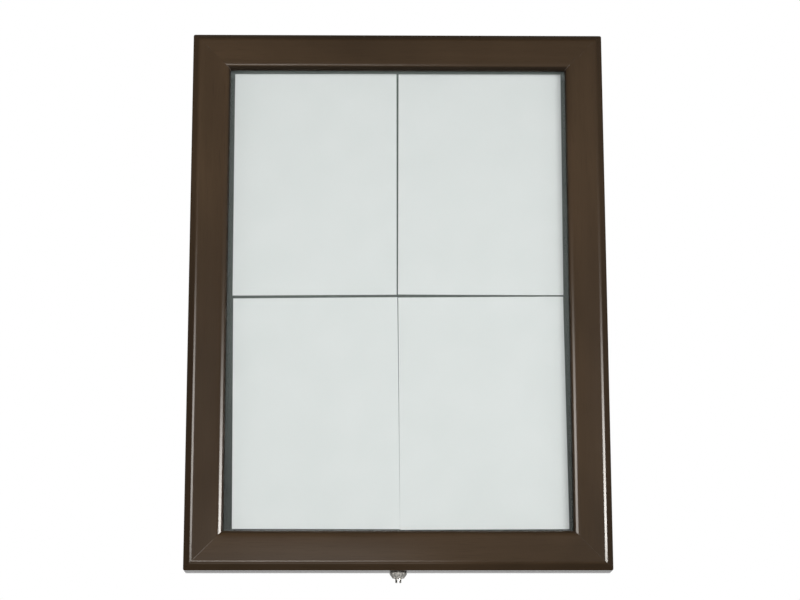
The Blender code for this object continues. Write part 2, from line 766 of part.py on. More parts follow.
def make_panel(body):
    """The sheet-steel panel on the ledge of the case."""
    shape = bmesh.new()
    half_width = DISPLAY_WIDTH / 2 - CASE_WALL_WIDTH - CLEARANCE
    half_height = DISPLAY_HEIGHT / 2 - CASE_WALL_WIDTH - CLEARANCE
    low = (-half_width, PANEL_FRONT, -half_height)
    high = (half_width, PANEL_FRONT + PANEL_THICKNESS, half_height)
    add_box(shape, low, high)
    make_piece("display_panel", shape, PANEL_PAINT, body, (0, PANEL_FRONT, 0))


def make_sheets(body):
    """Four sheets in two rows, with a narrow gap between them."""
    for row, side_z in (("upper", 1), ("lower", -1)):
        for column, side_x in (("left", -1), ("right", 1)):
            shape = bmesh.new()
            centre_x = side_x * (SHEET_WIDTH + SHEET_GAP) / 2
            centre_z = side_z * (SHEET_HEIGHT + SHEET_GAP) / 2 + SHEET_LIFT
            low = (centre_x - SHEET_WIDTH / 2, SHEET_FRONT, centre_z - SHEET_HEIGHT / 2)
            high = (centre_x + SHEET_WIDTH / 2, SHEET_FRONT + SHEET_THICKNESS, centre_z + SHEET_HEIGHT / 2)
            add_box(shape, low, high)
            name = row + "_" + column + "_sheet"
            make_piece(name, shape, PAPER, body, (centre_x, SHEET_FRONT, centre_z))


def make_back_board(body):
    """The hardboard back, flush with the back of the case."""
    shape = bmesh.new()
    half_width = DISPLAY_WIDTH / 2 - BACK_EDGE_WIDTH - CLEARANCE
    half_height = DISPLAY_HEIGHT / 2 - BACK_EDGE_WIDTH - CLEARANCE
    add_box(shape, (-half_width, -BACK_BOARD_THICKNESS, -half_height), (half_width, 0, half_height))
    make_piece("back_board", shape, HARDBOARD, body, (0, 0, 0))


def rosette_profile():
    """Closed section of the rosette about the lock axis, from its wooden seat down to its end."""
    end = -ROSETTE_HEIGHT
    seat = -CLEARANCE
    bore = NOSE_RADIUS + CLEARANCE
    cup = BARREL_RADIUS + CLEARANCE
    cup_end = -BARREL_SINK - CLEARANCE
    profile = [(cup, cup_end), (cup, seat), (ROSETTE_RADIUS - ROSETTE_RIM, seat)]
    profile.append((ROSETTE_RADIUS, -ROSETTE_RIM))
    bell = ROSETTE_HEIGHT - ROSETTE_ROLL - ROSETTE_RIM
    steps = 6
    for step in range(1, steps + 1):
        share = step / steps
        radius = ROSETTE_RADIUS - (ROSETTE_RADIUS - ROSETTE_END_RADIUS) * share ** ROSETTE_CURVE
        profile.append((radius, -ROSETTE_RIM - bell * share))
    profile += arc((ROSETTE_END_RADIUS - ROSETTE_ROLL, end + ROSETTE_ROLL), ROSETTE_ROLL, 0, -90, 3)[1:]
    profile.append((bore, end))
    profile.append((bore, cup_end))
    return profile


def make_rosette(body):
    """The fluted metal rosette round the lock under the bottom edge."""
    shape = bmesh.new()
    add_turned(shape, rosette_profile(), (0, 0, 0), (0, 0, 1), ROSETTE_FLUTES * 4, closed=True)
    for vertex in shape.verts:
        radius = math.hypot(vertex.co.x, vertex.co.y)
        on_bell = radius > ROSETTE_END_RADIUS - ROSETTE_ROLL / 2 - CLEARANCE
        if on_bell and vertex.co.z < -ROSETTE_RIM - CLEARANCE:
            angle = math.atan2(vertex.co.y, vertex.co.x)
            share = 1 - FLUTE_DEPTH / radius * (0.5 - 0.5 * math.cos(ROSETTE_FLUTES * angle))
            vertex.co.x *= share
            vertex.co.y *= share
    bmesh.ops.translate(shape, verts=shape.verts, vec=LOCK_AXIS)
    make_piece("lock_rosette", shape, NICKEL, body, LOCK_AXIS, 50)


def make_barrel(body):
    """The threaded barrel that passes up through the bottom rail."""
    shape = bmesh.new()
    bore = SPINDLE_RADIUS + CLEARANCE
    profile = [(bore, -BARREL_SINK), (bore, BARREL_TOP)]
    profile += [(BARREL_RADIUS, BARREL_TOP), (BARREL_RADIUS, -BARREL_SINK)]
    add_turned(shape, profile, LOCK_AXIS, (0, 0, 1), 24, closed=True)
    make_piece("lock_barrel", shape, NICKEL, body, LOCK_AXIS, 50)


def make_nut(body):
    """The flat nut that pulls the barrel and rosette up against the wood."""
    shape = bmesh.new()
    seat = LOCK_AXIS + Vector((0, 0, NUT_SEAT))
    corner = NUT_WIDTH / math.sqrt(3)
    outline = [seat + Vector((x, y, 0)) for x, y in arc((0, 0), corner, 0, 300, 5)]
    add_prism(shape, outline, (0, 0, NUT_HEIGHT))
    nut = make_piece("lock_nut", shape, ZINC, body, seat)
    bore = bmesh.new()
    radius = BARREL_RADIUS + CLEARANCE
    length = NUT_HEIGHT + 2 * OVERCUT
    start = seat - Vector((0, 0, OVERCUT))
    add_turned(bore, [(0, 0), (radius, 0), (radius, length), (0, length)], start, (0, 0, 1), 24)
    combine(nut, make_cutter("lock_nut_bore", bore, body))


def make_spindle(body):
    """The turning spindle: slotted nose for the key below, square tang for the cam above."""
    shape = bmesh.new()
    nose_end = -(ROSETTE_HEIGHT + NOSE_LENGTH)
    shoulder = -BARREL_SINK - CLEARANCE
    profile = [
        (0, nose_end),
        (NOSE_RADIUS - NOSE_EDGE, nose_end),
        (NOSE_RADIUS, nose_end + NOSE_EDGE),
        (NOSE_RADIUS, shoulder),
        (SPINDLE_RADIUS, shoulder),
        (SPINDLE_RADIUS, CAM_SEAT - CLEARANCE),
        (0, CAM_SEAT - CLEARANCE),
    ]
    add_turned(shape, profile, LOCK_AXIS, (0, 0, 1), 24)
    spindle = make_piece("lock_spindle", shape, NICKEL, body, LOCK_AXIS, 50)
    tang = bmesh.new()
    half = TANG_WIDTH / 2
    foot = LOCK_AXIS + Vector((-half, -half, CAM_SEAT - OVERCUT))
    head = LOCK_AXIS + Vector((half, half, CAM_TOP - CLEARANCE))
    add_box(tang, foot, head)
    combine(spindle, make_cutter("spindle_tang", tang, body), "UNION")
    slot = bmesh.new()
    half = NOSE_SLOT_WIDTH / 2
    reach = NOSE_RADIUS + OVERCUT
    foot = LOCK_AXIS + Vector((-half, -reach, nose_end - OVERCUT))
    head = LOCK_AXIS + Vector((half, reach, nose_end + NOSE_SLOT_DEPTH))
    add_box(slot, foot, head)
    combine(spindle, make_cutter("spindle_slot", slot, body))
    hole = bmesh.new()
    point = LOCK_AXIS + Vector((0, 0, CAM_TOP))
    add_turned(hole, domed(CAM_SCREW, CLEARANCE), point, (0, 0, -1), 12)
    combine(spindle, make_cutter("spindle_screw_hole", hole, body))


def cam_outline():
    """Outline of the cam about its axis: a round hub and a tapered arm that points forward."""
    spacing = CAM_REACH - CAM_TIP_RADIUS
    spread_angle = math.degrees(math.acos((CAM_HUB_RADIUS - CAM_TIP_RADIUS) / spacing))
    hub = arc((0, 0), CAM_HUB_RADIUS, -90 + spread_angle, 270 - spread_angle, 10)
    tip = arc((0, -spacing), CAM_TIP_RADIUS, 270 - spread_angle, 270 + spread_angle, 8)
    return hub + tip


def make_cam(body):
    """The cam on the spindle's square tang."""
    shape = bmesh.new()
    seat = LOCK_AXIS + Vector((0, 0, CAM_SEAT))
    add_prism(shape, [seat + Vector((x, y, 0)) for x, y in cam_outline()], (0, 0, CAM_THICKNESS))
    cam = make_piece("lock_cam", shape, ZINC, body, seat)
    hole = bmesh.new()
    half = TANG_WIDTH / 2 + CLEARANCE
    low = seat + Vector((-half, -half, -OVERCUT))
    high = seat + Vector((half, half, CAM_THICKNESS + OVERCUT))
    add_box(hole, low, high)
    combine(cam, make_cutter("cam_square_hole", hole, body))


def keyhole_outline(height):
    """Keyhole in a hanger plate whose middle is at that height: round below with a slot that rises."""
    turn = math.degrees(math.asin(KEYHOLE_SLOT_RADIUS / KEYHOLE_RADIUS))
    centre = height - KEYHOLE_DROP
    lower = arc((0, centre), KEYHOLE_RADIUS, 90 + turn, 450 - turn, 18)
    upper = arc((0, centre + KEYHOLE_RISE), KEYHOLE_SLOT_RADIUS, 0, 180, 8)
    return lower + upper


def make_hanger(name, body, side_x, holes):
    """A steel plate with a keyhole, let into the back of the top case rail."""
    shape = bmesh.new()
    middle = side_x * HANGER_OFFSET
    height = TOP - HANGER_INSET
    low = (middle - HANGER_LENGTH / 2, -HANGER_THICKNESS, height - HANGER_HEIGHT / 2)
    high = (middle + HANGER_LENGTH / 2, 0, height + HANGER_HEIGHT / 2)
    add_box(shape, low, high)
    plate = make_piece(name, shape, ZINC, body, (middle, 0, height), 40)
    keyhole = bmesh.new()
    outline = [Vector((middle + x, OVERCUT, z)) for x, z in keyhole_outline(height)]
    add_prism(keyhole, outline, (0, -HANGER_THICKNESS - 2 * OVERCUT, 0))
    combine(plate, make_cutter(name + "_keyhole", keyhole, body))
    combine(plate, holes)


def hanger_recess_cutter(body):
    """Shallow recesses that take the hanger plates flush with the back."""
    shape = bmesh.new()
    half_length = HANGER_LENGTH / 2 + CLEARANCE
    half_height = HANGER_HEIGHT / 2 + CLEARANCE
    height = TOP - HANGER_INSET
    for sign in PIVOTS.values():
        middle = sign * HANGER_OFFSET
        low = (middle - half_length, -HANGER_THICKNESS - CLEARANCE, height - half_height)
        high = (middle + half_length, OVERCUT, height + half_height)
        add_box(shape, low, high)
    return make_cutter("hanger_recesses", shape, body)


def hanger_pocket_cutter(body):
    """Deeper pockets behind the keyholes that leave room for a screw head."""
    shape = bmesh.new()
    half_width = KEYHOLE_RADIUS + OVERCUT
    centre = TOP - HANGER_INSET - KEYHOLE_DROP
    for sign in PIVOTS.values():
        middle = sign * HANGER_OFFSET
        low = (middle - half_width, -HANGER_POCKET_DEPTH, centre - half_width)
        high = (middle + half_width, OVERCUT, centre + KEYHOLE_RISE + half_width)
        add_box(shape, low, high)
    return make_cutter("hanger_pockets", shape, body)


def make_door(body):
    """Everything that swings on the hinges."""
    holes = door_hole_cutter(body)
    make_door_rails(body, holes)
    make_door_keys(body)
    make_glass(body)
    make_glazing(body)
    make_strike_hook(body, holes)
    make_screws("strike_hook_screw", body, countersunk(HOOK_SCREW), hook_screw_points(), (0, -1, 0), ZINC)
    for side, side_x in PIVOTS.items():
        make_hinge_leaf(side + "_hinge_door_leaf", body, side_x, -1, holes)
        points = hinge_screw_points(side, DOOR_BACK)
        make_screws(side + "_hinge_door_screw", body, countersunk(HINGE_SCREW), points, (0, -1, 0), BRASS)


def make_case(body):
    """Everything that stays on the wall."""
    holes = case_hole_cutter(body)
    make_case_rails(body, holes)
    make_bumpers(body)
    make_panel(body)
    make_sheets(body)
    make_back_board(body)
    make_rosette(body)
    make_barrel(body)
    make_nut(body)
    for side, side_x in PIVOTS.items():
        make_hinge_leaf(side + "_hinge_case_leaf", body, side_x, 1, holes)
        points = hinge_screw_points(side, CASE_FRONT)
        make_screws(side + "_hinge_case_screw", body, countersunk(HINGE_SCREW), points, (0, 1, 0), BRASS)
        make_hinge_pin(side + "_hinge_pin", body, side_x)
        make_hanger(side + "_hanger_plate", body, side_x, holes)
        points = hanger_screw_points(side)
        make_screws(side + "_hanger_screw", body, countersunk(HANGER_SCREW), points, (0, -1, 0), ZINC)


def make_lock(body):
    """What turns with the key."""
    make_spindle(body)
    make_cam(body)
    point = LOCK_AXIS + Vector((0, 0, CAM_TOP))
    shape = bmesh.new()
    add_turned(shape, domed(CAM_SCREW), point, (0, 0, -1), 12)
    make_piece("cam_screw", shape, ZINC, body, point, 40)


clear_scene()
make_door(make_pivot("door_hinge_axis", HINGE_AXIS))
make_case(make_pivot("case_origin", Vector((0, 0, 0))))
make_lock(make_pivot("lock_axis", LOCK_AXIS))
bpy.context.view_layer.update()
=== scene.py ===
"""Looks of a wall-hung information display: four sheets on a steel panel behind a glazed wooden door.

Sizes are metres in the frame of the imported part: X to the right, Y into the wall, Z up.
"""

import math

import bmesh
import bpy
import numpy as np
from mathutils import Matrix, Vector


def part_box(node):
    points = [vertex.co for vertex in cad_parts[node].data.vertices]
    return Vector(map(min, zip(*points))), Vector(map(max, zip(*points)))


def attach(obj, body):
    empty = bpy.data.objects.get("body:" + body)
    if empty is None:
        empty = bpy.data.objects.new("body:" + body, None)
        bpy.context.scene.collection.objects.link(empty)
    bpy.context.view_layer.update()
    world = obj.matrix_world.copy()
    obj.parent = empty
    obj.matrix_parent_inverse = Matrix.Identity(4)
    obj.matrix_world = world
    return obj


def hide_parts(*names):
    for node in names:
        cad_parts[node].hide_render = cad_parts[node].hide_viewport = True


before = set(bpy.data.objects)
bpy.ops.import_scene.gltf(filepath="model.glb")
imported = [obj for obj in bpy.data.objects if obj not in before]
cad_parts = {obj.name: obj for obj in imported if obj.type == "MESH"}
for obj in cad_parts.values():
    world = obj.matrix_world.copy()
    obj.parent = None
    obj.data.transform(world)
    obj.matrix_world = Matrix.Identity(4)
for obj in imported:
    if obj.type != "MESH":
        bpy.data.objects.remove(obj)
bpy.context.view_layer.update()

# Outer size and levels, read from the frame
HALF_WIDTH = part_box("door_right_stile")[1].x
HALF_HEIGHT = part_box("door_top_rail")[1].z
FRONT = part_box("door_right_stile")[0].y
DOOR_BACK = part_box("door_right_stile")[1].y
CASE_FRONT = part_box("case_right_stile")[0].y
RAIL_WIDTH = HALF_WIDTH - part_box("door_right_stile")[0].x
CASE_WIDTH = HALF_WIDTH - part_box("case_right_stile")[0].x
CLEARANCE = 0.0003
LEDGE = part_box("display_panel")[1].y + CLEARANCE
BACK_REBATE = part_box("back_board")[0].y - CLEARANCE
LOCK_Y = (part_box("lock_barrel")[0].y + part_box("lock_barrel")[1].y) / 2

# Section of the door rails, inward from the outer edge and back from the front
BEVEL_WIDTH = 0.0115
BEVEL_DEPTH = 0.0089
ARRIS_RADIUS = 0.0070
MOULDING_WIDTH = 0.0093
LIP_DEPTH = 0.0072
LIP_THICKNESS = 0.0018
REBATE_WIDTH = 0.008

# Section of the case rails
CASE_WALL_WIDTH = 0.030
BACK_EDGE_WIDTH = 0.034
BACK_CHAMFER = 0.001

# Eased edges, rounded outer corners and glued mitres
EDGE_RADIUS = 0.0005
BEAD_EDGE_RADIUS = 0.0003
BEAD_BACK_RADIUS = 0.0022
CORNER_RADIUS = 0.0022
MITRE_GAP = 0.00002
MITRE_EASE = 0.00005

# Points along the arcs and across the bevel
ARC_STEPS = 10
CASE_ARC_STEPS = 6
BEAD_ARC_STEPS = 8
BEVEL_STEPS = 6
CORNER_STEPS = 7
EASE_STEPS = 4

# Cuts in the rails; a cutter reaches past the wood by the overcut
OVERCUT = 0.001
KEY_CLEARANCE = 0.0004
LEAF_THICKNESS = 0.0012
KNUCKLE_RADIUS = 0.0025
HEAD_ROOM_HALF_WIDTH = 0.0058
HEAD_ROOM_DEPTH = 0.009
HEAD_ROOM_BELOW = 0.0088
HEAD_ROOM_ABOVE = 0.0085
BUMPER_SEAT_RADIUS = 0.0043
BUMPER_SEAT_DEPTH = 0.0018

# The lock and its pocket in the bottom rail of the case
LOCK_WALL_TOP = -HALF_HEIGHT + 0.014
POCKET_LEFT = -0.013
POCKET_RIGHT = 0.036
POCKET_DEPTH = 0.0179
POCKET_HEIGHT = 0.0175
BARREL_BORE_RADIUS = 0.0058
BARREL_BORE_DEPTH = 0.0155
ROSETTE_DEPTH = 0.0053
FLUTES = 16
FLUTE_DEPTH = 0.0006
FLUTE_SEGMENTS = 12

# Screws: height of the head and radius of the shank; thread and segments are shared
HINGE_SCREW = (0.0011, 0.0010)
PLATE_SCREW = (0.0013, 0.0012)
BACK_SCREW = (0.0012, 0.0011)
CAM_SCREW = (0.0015, 0.0011)
THREAD_PITCH = 0.0011
THREAD_START = 0.0008
THREAD_ROWS = 44
SCREW_SEGMENTS = 24

# Sheets
PAPER_THICKNESS = 0.00025
SHEET_COLUMNS = 43
SHEET_ROWS = 61

# Painted highlights in the lacquer along the mitres and the lower arris: the two places between which
# each one fades
MITRE_LINE = (0.0002, 0.0005)
MITRE_HIGHLIGHT_STARTS = (0.022, 0.024)
MITRE_HIGHLIGHT_ENDS = (0.068, 0.076)
MOULDING_EDGE = (0.0060, 0.0070)
ARRIS_HIGHLIGHT_HEIGHT = -HALF_HEIGHT + 0.0103
ARRIS_HIGHLIGHT_LINE = (0.0003, 0.0009)
FRONT_SIDE = (-0.034, -0.030)
# Pale colour of the painted highlights
HIGHLIGHT_TONE = (0.24, 0.20, 0.17)

# Studio: height of the floor, and softboxes by azimuth, height, tallness and radiance
FLOOR = -1.5
SOFTBOXES = ((-15, -0.68, 0.2, 26.8), (27, -0.68, 0.2, 21.2),
             (-15, 0.28, 0.3, 18.2), (27, 0.28, 0.3, 16.4),
             (-50, -0.20, 0.4, 3.2), (52, -0.20, 0.4, 3.2))
# Slices of the strips by foot, head and radiance
RIGHT_STRIP = ((-0.145, -0.04, 32.0), (-0.04, 0.03, 23.0), (0.03, 0.12, 16.0),
               (0.12, 0.20, 10.0), (0.20, 0.28, 5.5), (0.28, 0.36, 2.0))
LEFT_STRIP = ((-0.145, 0.22, 9.2), (0.22, 0.30, 6.3), (0.30, 0.38, 3.3), (0.38, 0.44, 1.2))
# Cards in front by left, right, foot, head and radiance
FRONT_CARDS = ((-1.00, -0.15, -0.75, -0.58, 11.0), (-0.15, 0.10, -0.75, -0.58, 6.5),
               (-0.62, -0.32, -0.40, 0.02, 0.35), (-0.32, 0.06, -0.40, 0.02, 0.80))

SIDES = ("top", "bottom", "left", "right")


def unit(vectors):
    """Each row divided by its own length."""
    return vectors / np.linalg.norm(vectors, axis=-1, keepdims=True)


def grid_faces(rows, columns, wrap_rows=False, wrap_columns=False):
    """Four-cornered faces between the neighbours in a grid of points counted row by row."""
    row = np.arange(rows if wrap_rows else rows - 1)[:, None]
    column = np.arange(columns if wrap_columns else columns - 1)[None, :]
    below = (row + 1) % rows
    beside = (column + 1) % columns
    corners = (row * columns + column, row * columns + beside,
               below * columns + beside, below * columns + column)
    return np.stack(np.broadcast_arrays(*corners), axis=-1).reshape(-1, 4)


def smooth(piece, angle=32):
    """Smooth shading, with edges kept sharp where the faces turn by more than the angle."""
    piece.data.shade_smooth()
    piece.data.set_sharp_from_angle(angle=math.radians(angle))


def mesh_piece(name, points, faces):
    """An object of points and faces whose doubles are merged and whose faces point outward."""
    mesh = bpy.data.meshes.new(name)
    mesh.from_pydata(points.reshape(-1, 3).tolist(), [], faces)
    shape = bmesh.new()
    shape.from_mesh(mesh)
    bmesh.ops.remove_doubles(shape, verts=shape.verts, dist=1e-7)
    bmesh.ops.recalc_face_normals(shape, faces=shape.faces)
    shape.to_mesh(mesh)
    shape.free()
    piece = bpy.data.objects.new(name, mesh)
    bpy.context.scene.collection.objects.link(piece)
    smooth(piece)
    return piece


def ring_solid(name, rings, closed=False):
    """A solid through rings of points: the last ring meets the first, or both ends get a face.

    A ring that has shrunk to a point closes its end by itself.
    """
    count, size = rings.shape[:2]
    faces = grid_faces(count, size, wrap_rows=closed, wrap_columns=True).tolist()
    if not closed:
        faces += [list(range(size)), list(range((count - 1) * size, count * size))]
    return mesh_piece(name, rings, faces)


def turned(name, profile, centre, axis, segments=48, closed=False):
    """A turned solid: point = centre + axis * height + radius * (across * cos t + beyond * sin t)."""
    radius, height = np.array(profile, float).T
    axis = np.array(axis, float)
    across = np.roll(axis, 1)
    beyond = np.cross(axis, across)
    turn = np.arange(segments) * (math.tau / segments)
    circle = np.outer(np.cos(turn), across) + np.outer(np.sin(turn), beyond)
    rings = np.array(centre) + height[:, None, None] * axis + radius[:, None, None] * circle
    return ring_solid(name, rings, closed)


def block(name, low, high):
    """A box between two corners, used for cutting."""
    low = np.array(low)
    high = np.array(high)
    square = np.array([(0, 0), (1, 0), (1, 1), (0, 1)])
    rings = np.array([np.column_stack([square, np.full(4, end)]) for end in (0, 1)])
    return ring_solid(name, low + rings * (high - low))


def round_cutter(name, radius, start, end, centre, axis, segments=48):
    """A cylinder for cutting, from one height to another along its axis."""
    profile = [(0, start), (radius, start), (radius, end), (0, end)]
    return turned(name, profile, centre, axis, segments)


def rounded_corners(corners, radii, steps=ARC_STEPS):
    """The corners of a closed outline as arcs, one row of points for each.

    An arc's centre lies on the bisector at radius / sin(half the corner), and the arc turns evenly
    from the point where it touches one side to the point where it touches the next.
    """
    corners = np.array(corners, float)
    radii = np.array(radii, float)[:, None]
    back = unit(np.roll(corners, 1, axis=0) - corners)
    ahead = unit(np.roll(corners, -1, axis=0) - corners)
    half = np.arccos(np.sum(back * ahead, axis=1, keepdims=True)) / 2
    centres = corners + unit(back + ahead) * radii / np.sin(half)
    start = corners + back * radii / np.tan(half) - centres
    end = corners + ahead * radii / np.tan(half) - centres
    sweep = (math.pi - 2 * half)[:, None]
    share = np.linspace(0, 1, steps)[None, :, None]
    turning = start[:, None] * np.sin((1 - share) * sweep) + end[:, None] * np.sin(share * sweep)
    return centres[:, None] + turning / np.sin(sweep)


def settle(piece):
    """Makes the result of a piece's modifiers its own mesh, with its sharp edges marked."""
    graph = bpy.context.evaluated_depsgraph_get()
    mesh = bpy.data.meshes.new_from_object(piece.evaluated_get(graph))
    piece.modifiers.clear()
    piece.data = mesh
    smooth(piece)


def combine(piece, operation, *tools):
    """Cuts closed tools out of a piece, or joins them to it, and removes them."""
    for tool in tools:
        boolean = piece.modifiers.new(tool.name, "BOOLEAN")
        boolean.operation = operation
        boolean.solver = "EXACT"
        boolean.object = tool
    settle(piece)
    for tool in tools:
        bpy.data.objects.remove(tool)
    return piece


def grown_box(name, node, growth, **reach):
    """A cutter round a CAD node's box, grown all round and drawn out to the levels named in reach."""
    low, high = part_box(node)
    low = [value - growth for value in low]
    high = [value + growth for value in high]
    for index, letter in enumerate("xyz"):
        low[index] = reach.get("low_" + letter, low[index])
        high[index] = reach.get("high_" + letter, high[index])
    return block(name, low, high)


def side_place(side, along, inward, level):
    """Points along one side of the frame, inward from its outer edge, at their level in Y."""
    sign = 1 if side in ("top", "right") else -1
    if side in ("top", "bottom"):
        return np.stack([along, level, sign * (HALF_HEIGHT - inward)], axis=-1)
    return np.stack([sign * (HALF_WIDTH - inward), level, along], axis=-1)


def outward(section):
    """Outward normals of a closed section, square to the line between each point's neighbours."""
    run = unit(np.roll(section, -1, axis=0) - np.roll(section, 1, axis=0))
    after = np.roll(section, -1, axis=0)
    area = np.sum(section[:, 0] * after[:, 1] - section[:, 1] * after[:, 0])
    return np.sign(area) * np.column_stack([run[:, 1], -run[:, 0]])


def mitred_bar(name, side, section):
    """A bar from mitre to mitre whose section lists (inward, level) points.

    Within CORNER_RADIUS of the outer edge the bar follows a rounded corner: at turn t from 0 to 45
    degrees, along = end - R + (R - inward) * sin t and depth = R - (R - inward) * cos t. Further in,
    it runs straight to the mitre, where along = end - inward. The mitre's edge is eased: over the
    last ease of the length, the section shrinks by ease * (1 - cos e) while e goes to 90 degrees.
    """
    end = (HALF_WIDTH if side in ("top", "bottom") else HALF_HEIGHT) - MITRE_GAP
    easing = np.linspace(0, math.pi / 2, EASE_STEPS)[1:]
    last = 1 - MITRE_EASE / CORNER_RADIUS
    even_share = np.linspace(0, last, CORNER_STEPS)
    share = np.concatenate([even_share, last + (1 - last) * np.sin(easing)])[:, None]
    full_size = np.zeros(CORNER_STEPS)
    shrink = np.concatenate([full_size, MITRE_EASE * (1 - np.cos(easing))])[:, None]
    normal = outward(section)
    inward = section[:, 0] - shrink * normal[:, 0]
    level = section[:, 1] - shrink * normal[:, 1]
    turn = share * math.pi / 4
    inner_radius = np.maximum(CORNER_RADIUS - inward, 0)
    on_corner = inward < CORNER_RADIUS
    rounded_along = end - CORNER_RADIUS + inner_radius * np.sin(turn)
    straight_along = end - inward - (1 - share) * CORNER_RADIUS
    along = np.where(on_corner, rounded_along, straight_along)
    depth = np.where(on_corner, CORNER_RADIUS - inner_radius * np.cos(turn), inward)
    along = np.concatenate([-along[::-1], along])
    depth = np.concatenate([depth[::-1], depth])
    level = np.concatenate([level[::-1], level])
    return ring_solid(name, side_place(side, along, depth, level))


def door_section():
    """Section of a door rail: eased outer edge, bevel, round arris, face, moulding, lip and rebate.

    The bevel touches the arris, and the moulding is a quarter ellipse: inward = width - moulding *
    (1 - sin a) and level = front + lip * (1 - cos a).
    """
    rise = BEVEL_DEPTH - ARRIS_RADIUS
    touch = math.asin(ARRIS_RADIUS / math.hypot(BEVEL_WIDTH, rise))
    slope = math.atan2(rise, BEVEL_WIDTH) + touch
    arris = BEVEL_WIDTH - ARRIS_RADIUS * math.tan(slope / 2)
    lip_back = FRONT + LIP_DEPTH + LIP_THICKNESS
    rebate = RAIL_WIDTH - REBATE_WIDTH
    corners = [(0, DOOR_BACK), (0, FRONT + BEVEL_DEPTH), (arris, FRONT), (RAIL_WIDTH, FRONT),
               (RAIL_WIDTH, lip_back), (rebate, lip_back), (rebate, DOOR_BACK)]
    radii = [EDGE_RADIUS] * len(corners)
    radii[2] = ARRIS_RADIUS
    arcs = rounded_corners(corners, radii)
    across_bevel = np.linspace(0, 1, BEVEL_STEPS)[1:-1, None]
    bevel = arcs[1, -1] + across_bevel * (arcs[2, 0] - arcs[1, -1])
    turn = np.linspace(0, math.pi / 2, 2 * ARC_STEPS)
    moulding = np.column_stack([RAIL_WIDTH - MOULDING_WIDTH * (1 - np.sin(turn)),
                                FRONT + LIP_DEPTH * (1 - np.cos(turn))])
    return np.concatenate([arcs[0], arcs[1], bevel, arcs[2], moulding, *arcs[4:]])


def case_section():
    """Section of a case rail: outer wall, ledge for the panel and rebate for the back board."""
    corners = [(0, CASE_FRONT), (CASE_WALL_WIDTH, CASE_FRONT), (CASE_WALL_WIDTH, LEDGE),
               (CASE_WIDTH, LEDGE), (CASE_WIDTH, BACK_REBATE), (BACK_EDGE_WIDTH, BACK_REBATE),
               (BACK_EDGE_WIDTH, 0), (0, 0)]
    radii = [EDGE_RADIUS] * (len(corners) - 1) + [BACK_CHAMFER]
    return rounded_corners(corners, radii, CASE_ARC_STEPS).reshape(-1, 2)


def bead_section():
    """Section of a glazing bead: square against the rebate, with its free back edge well rounded."""
    low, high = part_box("right_glazing_bead")
    start = HALF_WIDTH - high.x
    end = HALF_WIDTH - low.x
    corners = [(start, high.y), (start, low.y), (end, low.y), (end, high.y)]
    radii = [BEAD_EDGE_RADIUS] * 3 + [BEAD_BACK_RADIUS]
    return rounded_corners(corners, radii, BEAD_ARC_STEPS).reshape(-1, 2)


def rail_name(side):
    """Rails run across at top and bottom, and stiles stand at the sides."""
    return side + ("_rail" if side in ("top", "bottom") else "_stile")


def fit(piece, body, finish, slot, *nodes):
    """Gives a new piece its finish, its body and the CAD nodes that it stands for; slot is not used."""
    piece.data.materials.clear()
    piece.data.materials.append(finish)
    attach(piece, body)
    if nodes:
        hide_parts(*nodes)
    return piece


class Tone:
    """A shader socket whose arithmetic adds Math nodes to its finish."""

    def __init__(self, finish, socket):
        self.finish = finish
        self.socket = socket

    def math(self, operation, *values):
        """A Math node's answer for tones and numbers."""
        return self.finish.add("Math", {"operation": operation}, dict(enumerate(values)))

    def __add__(self, other):
        return self.math("ADD", self, other)

    def __sub__(self, other):
        return self.math("SUBTRACT", self, other)

    def __rsub__(self, other):
        return self.math("SUBTRACT", other, self)

    def __mul__(self, other):
        return self.math("MULTIPLY", self, other)

    def __or__(self, other):
        return self.math("MAXIMUM", self, other)

    def __abs__(self):
        return self.math("ABSOLUTE", self)

    __radd__ = __add__
    __rmul__ = __mul__


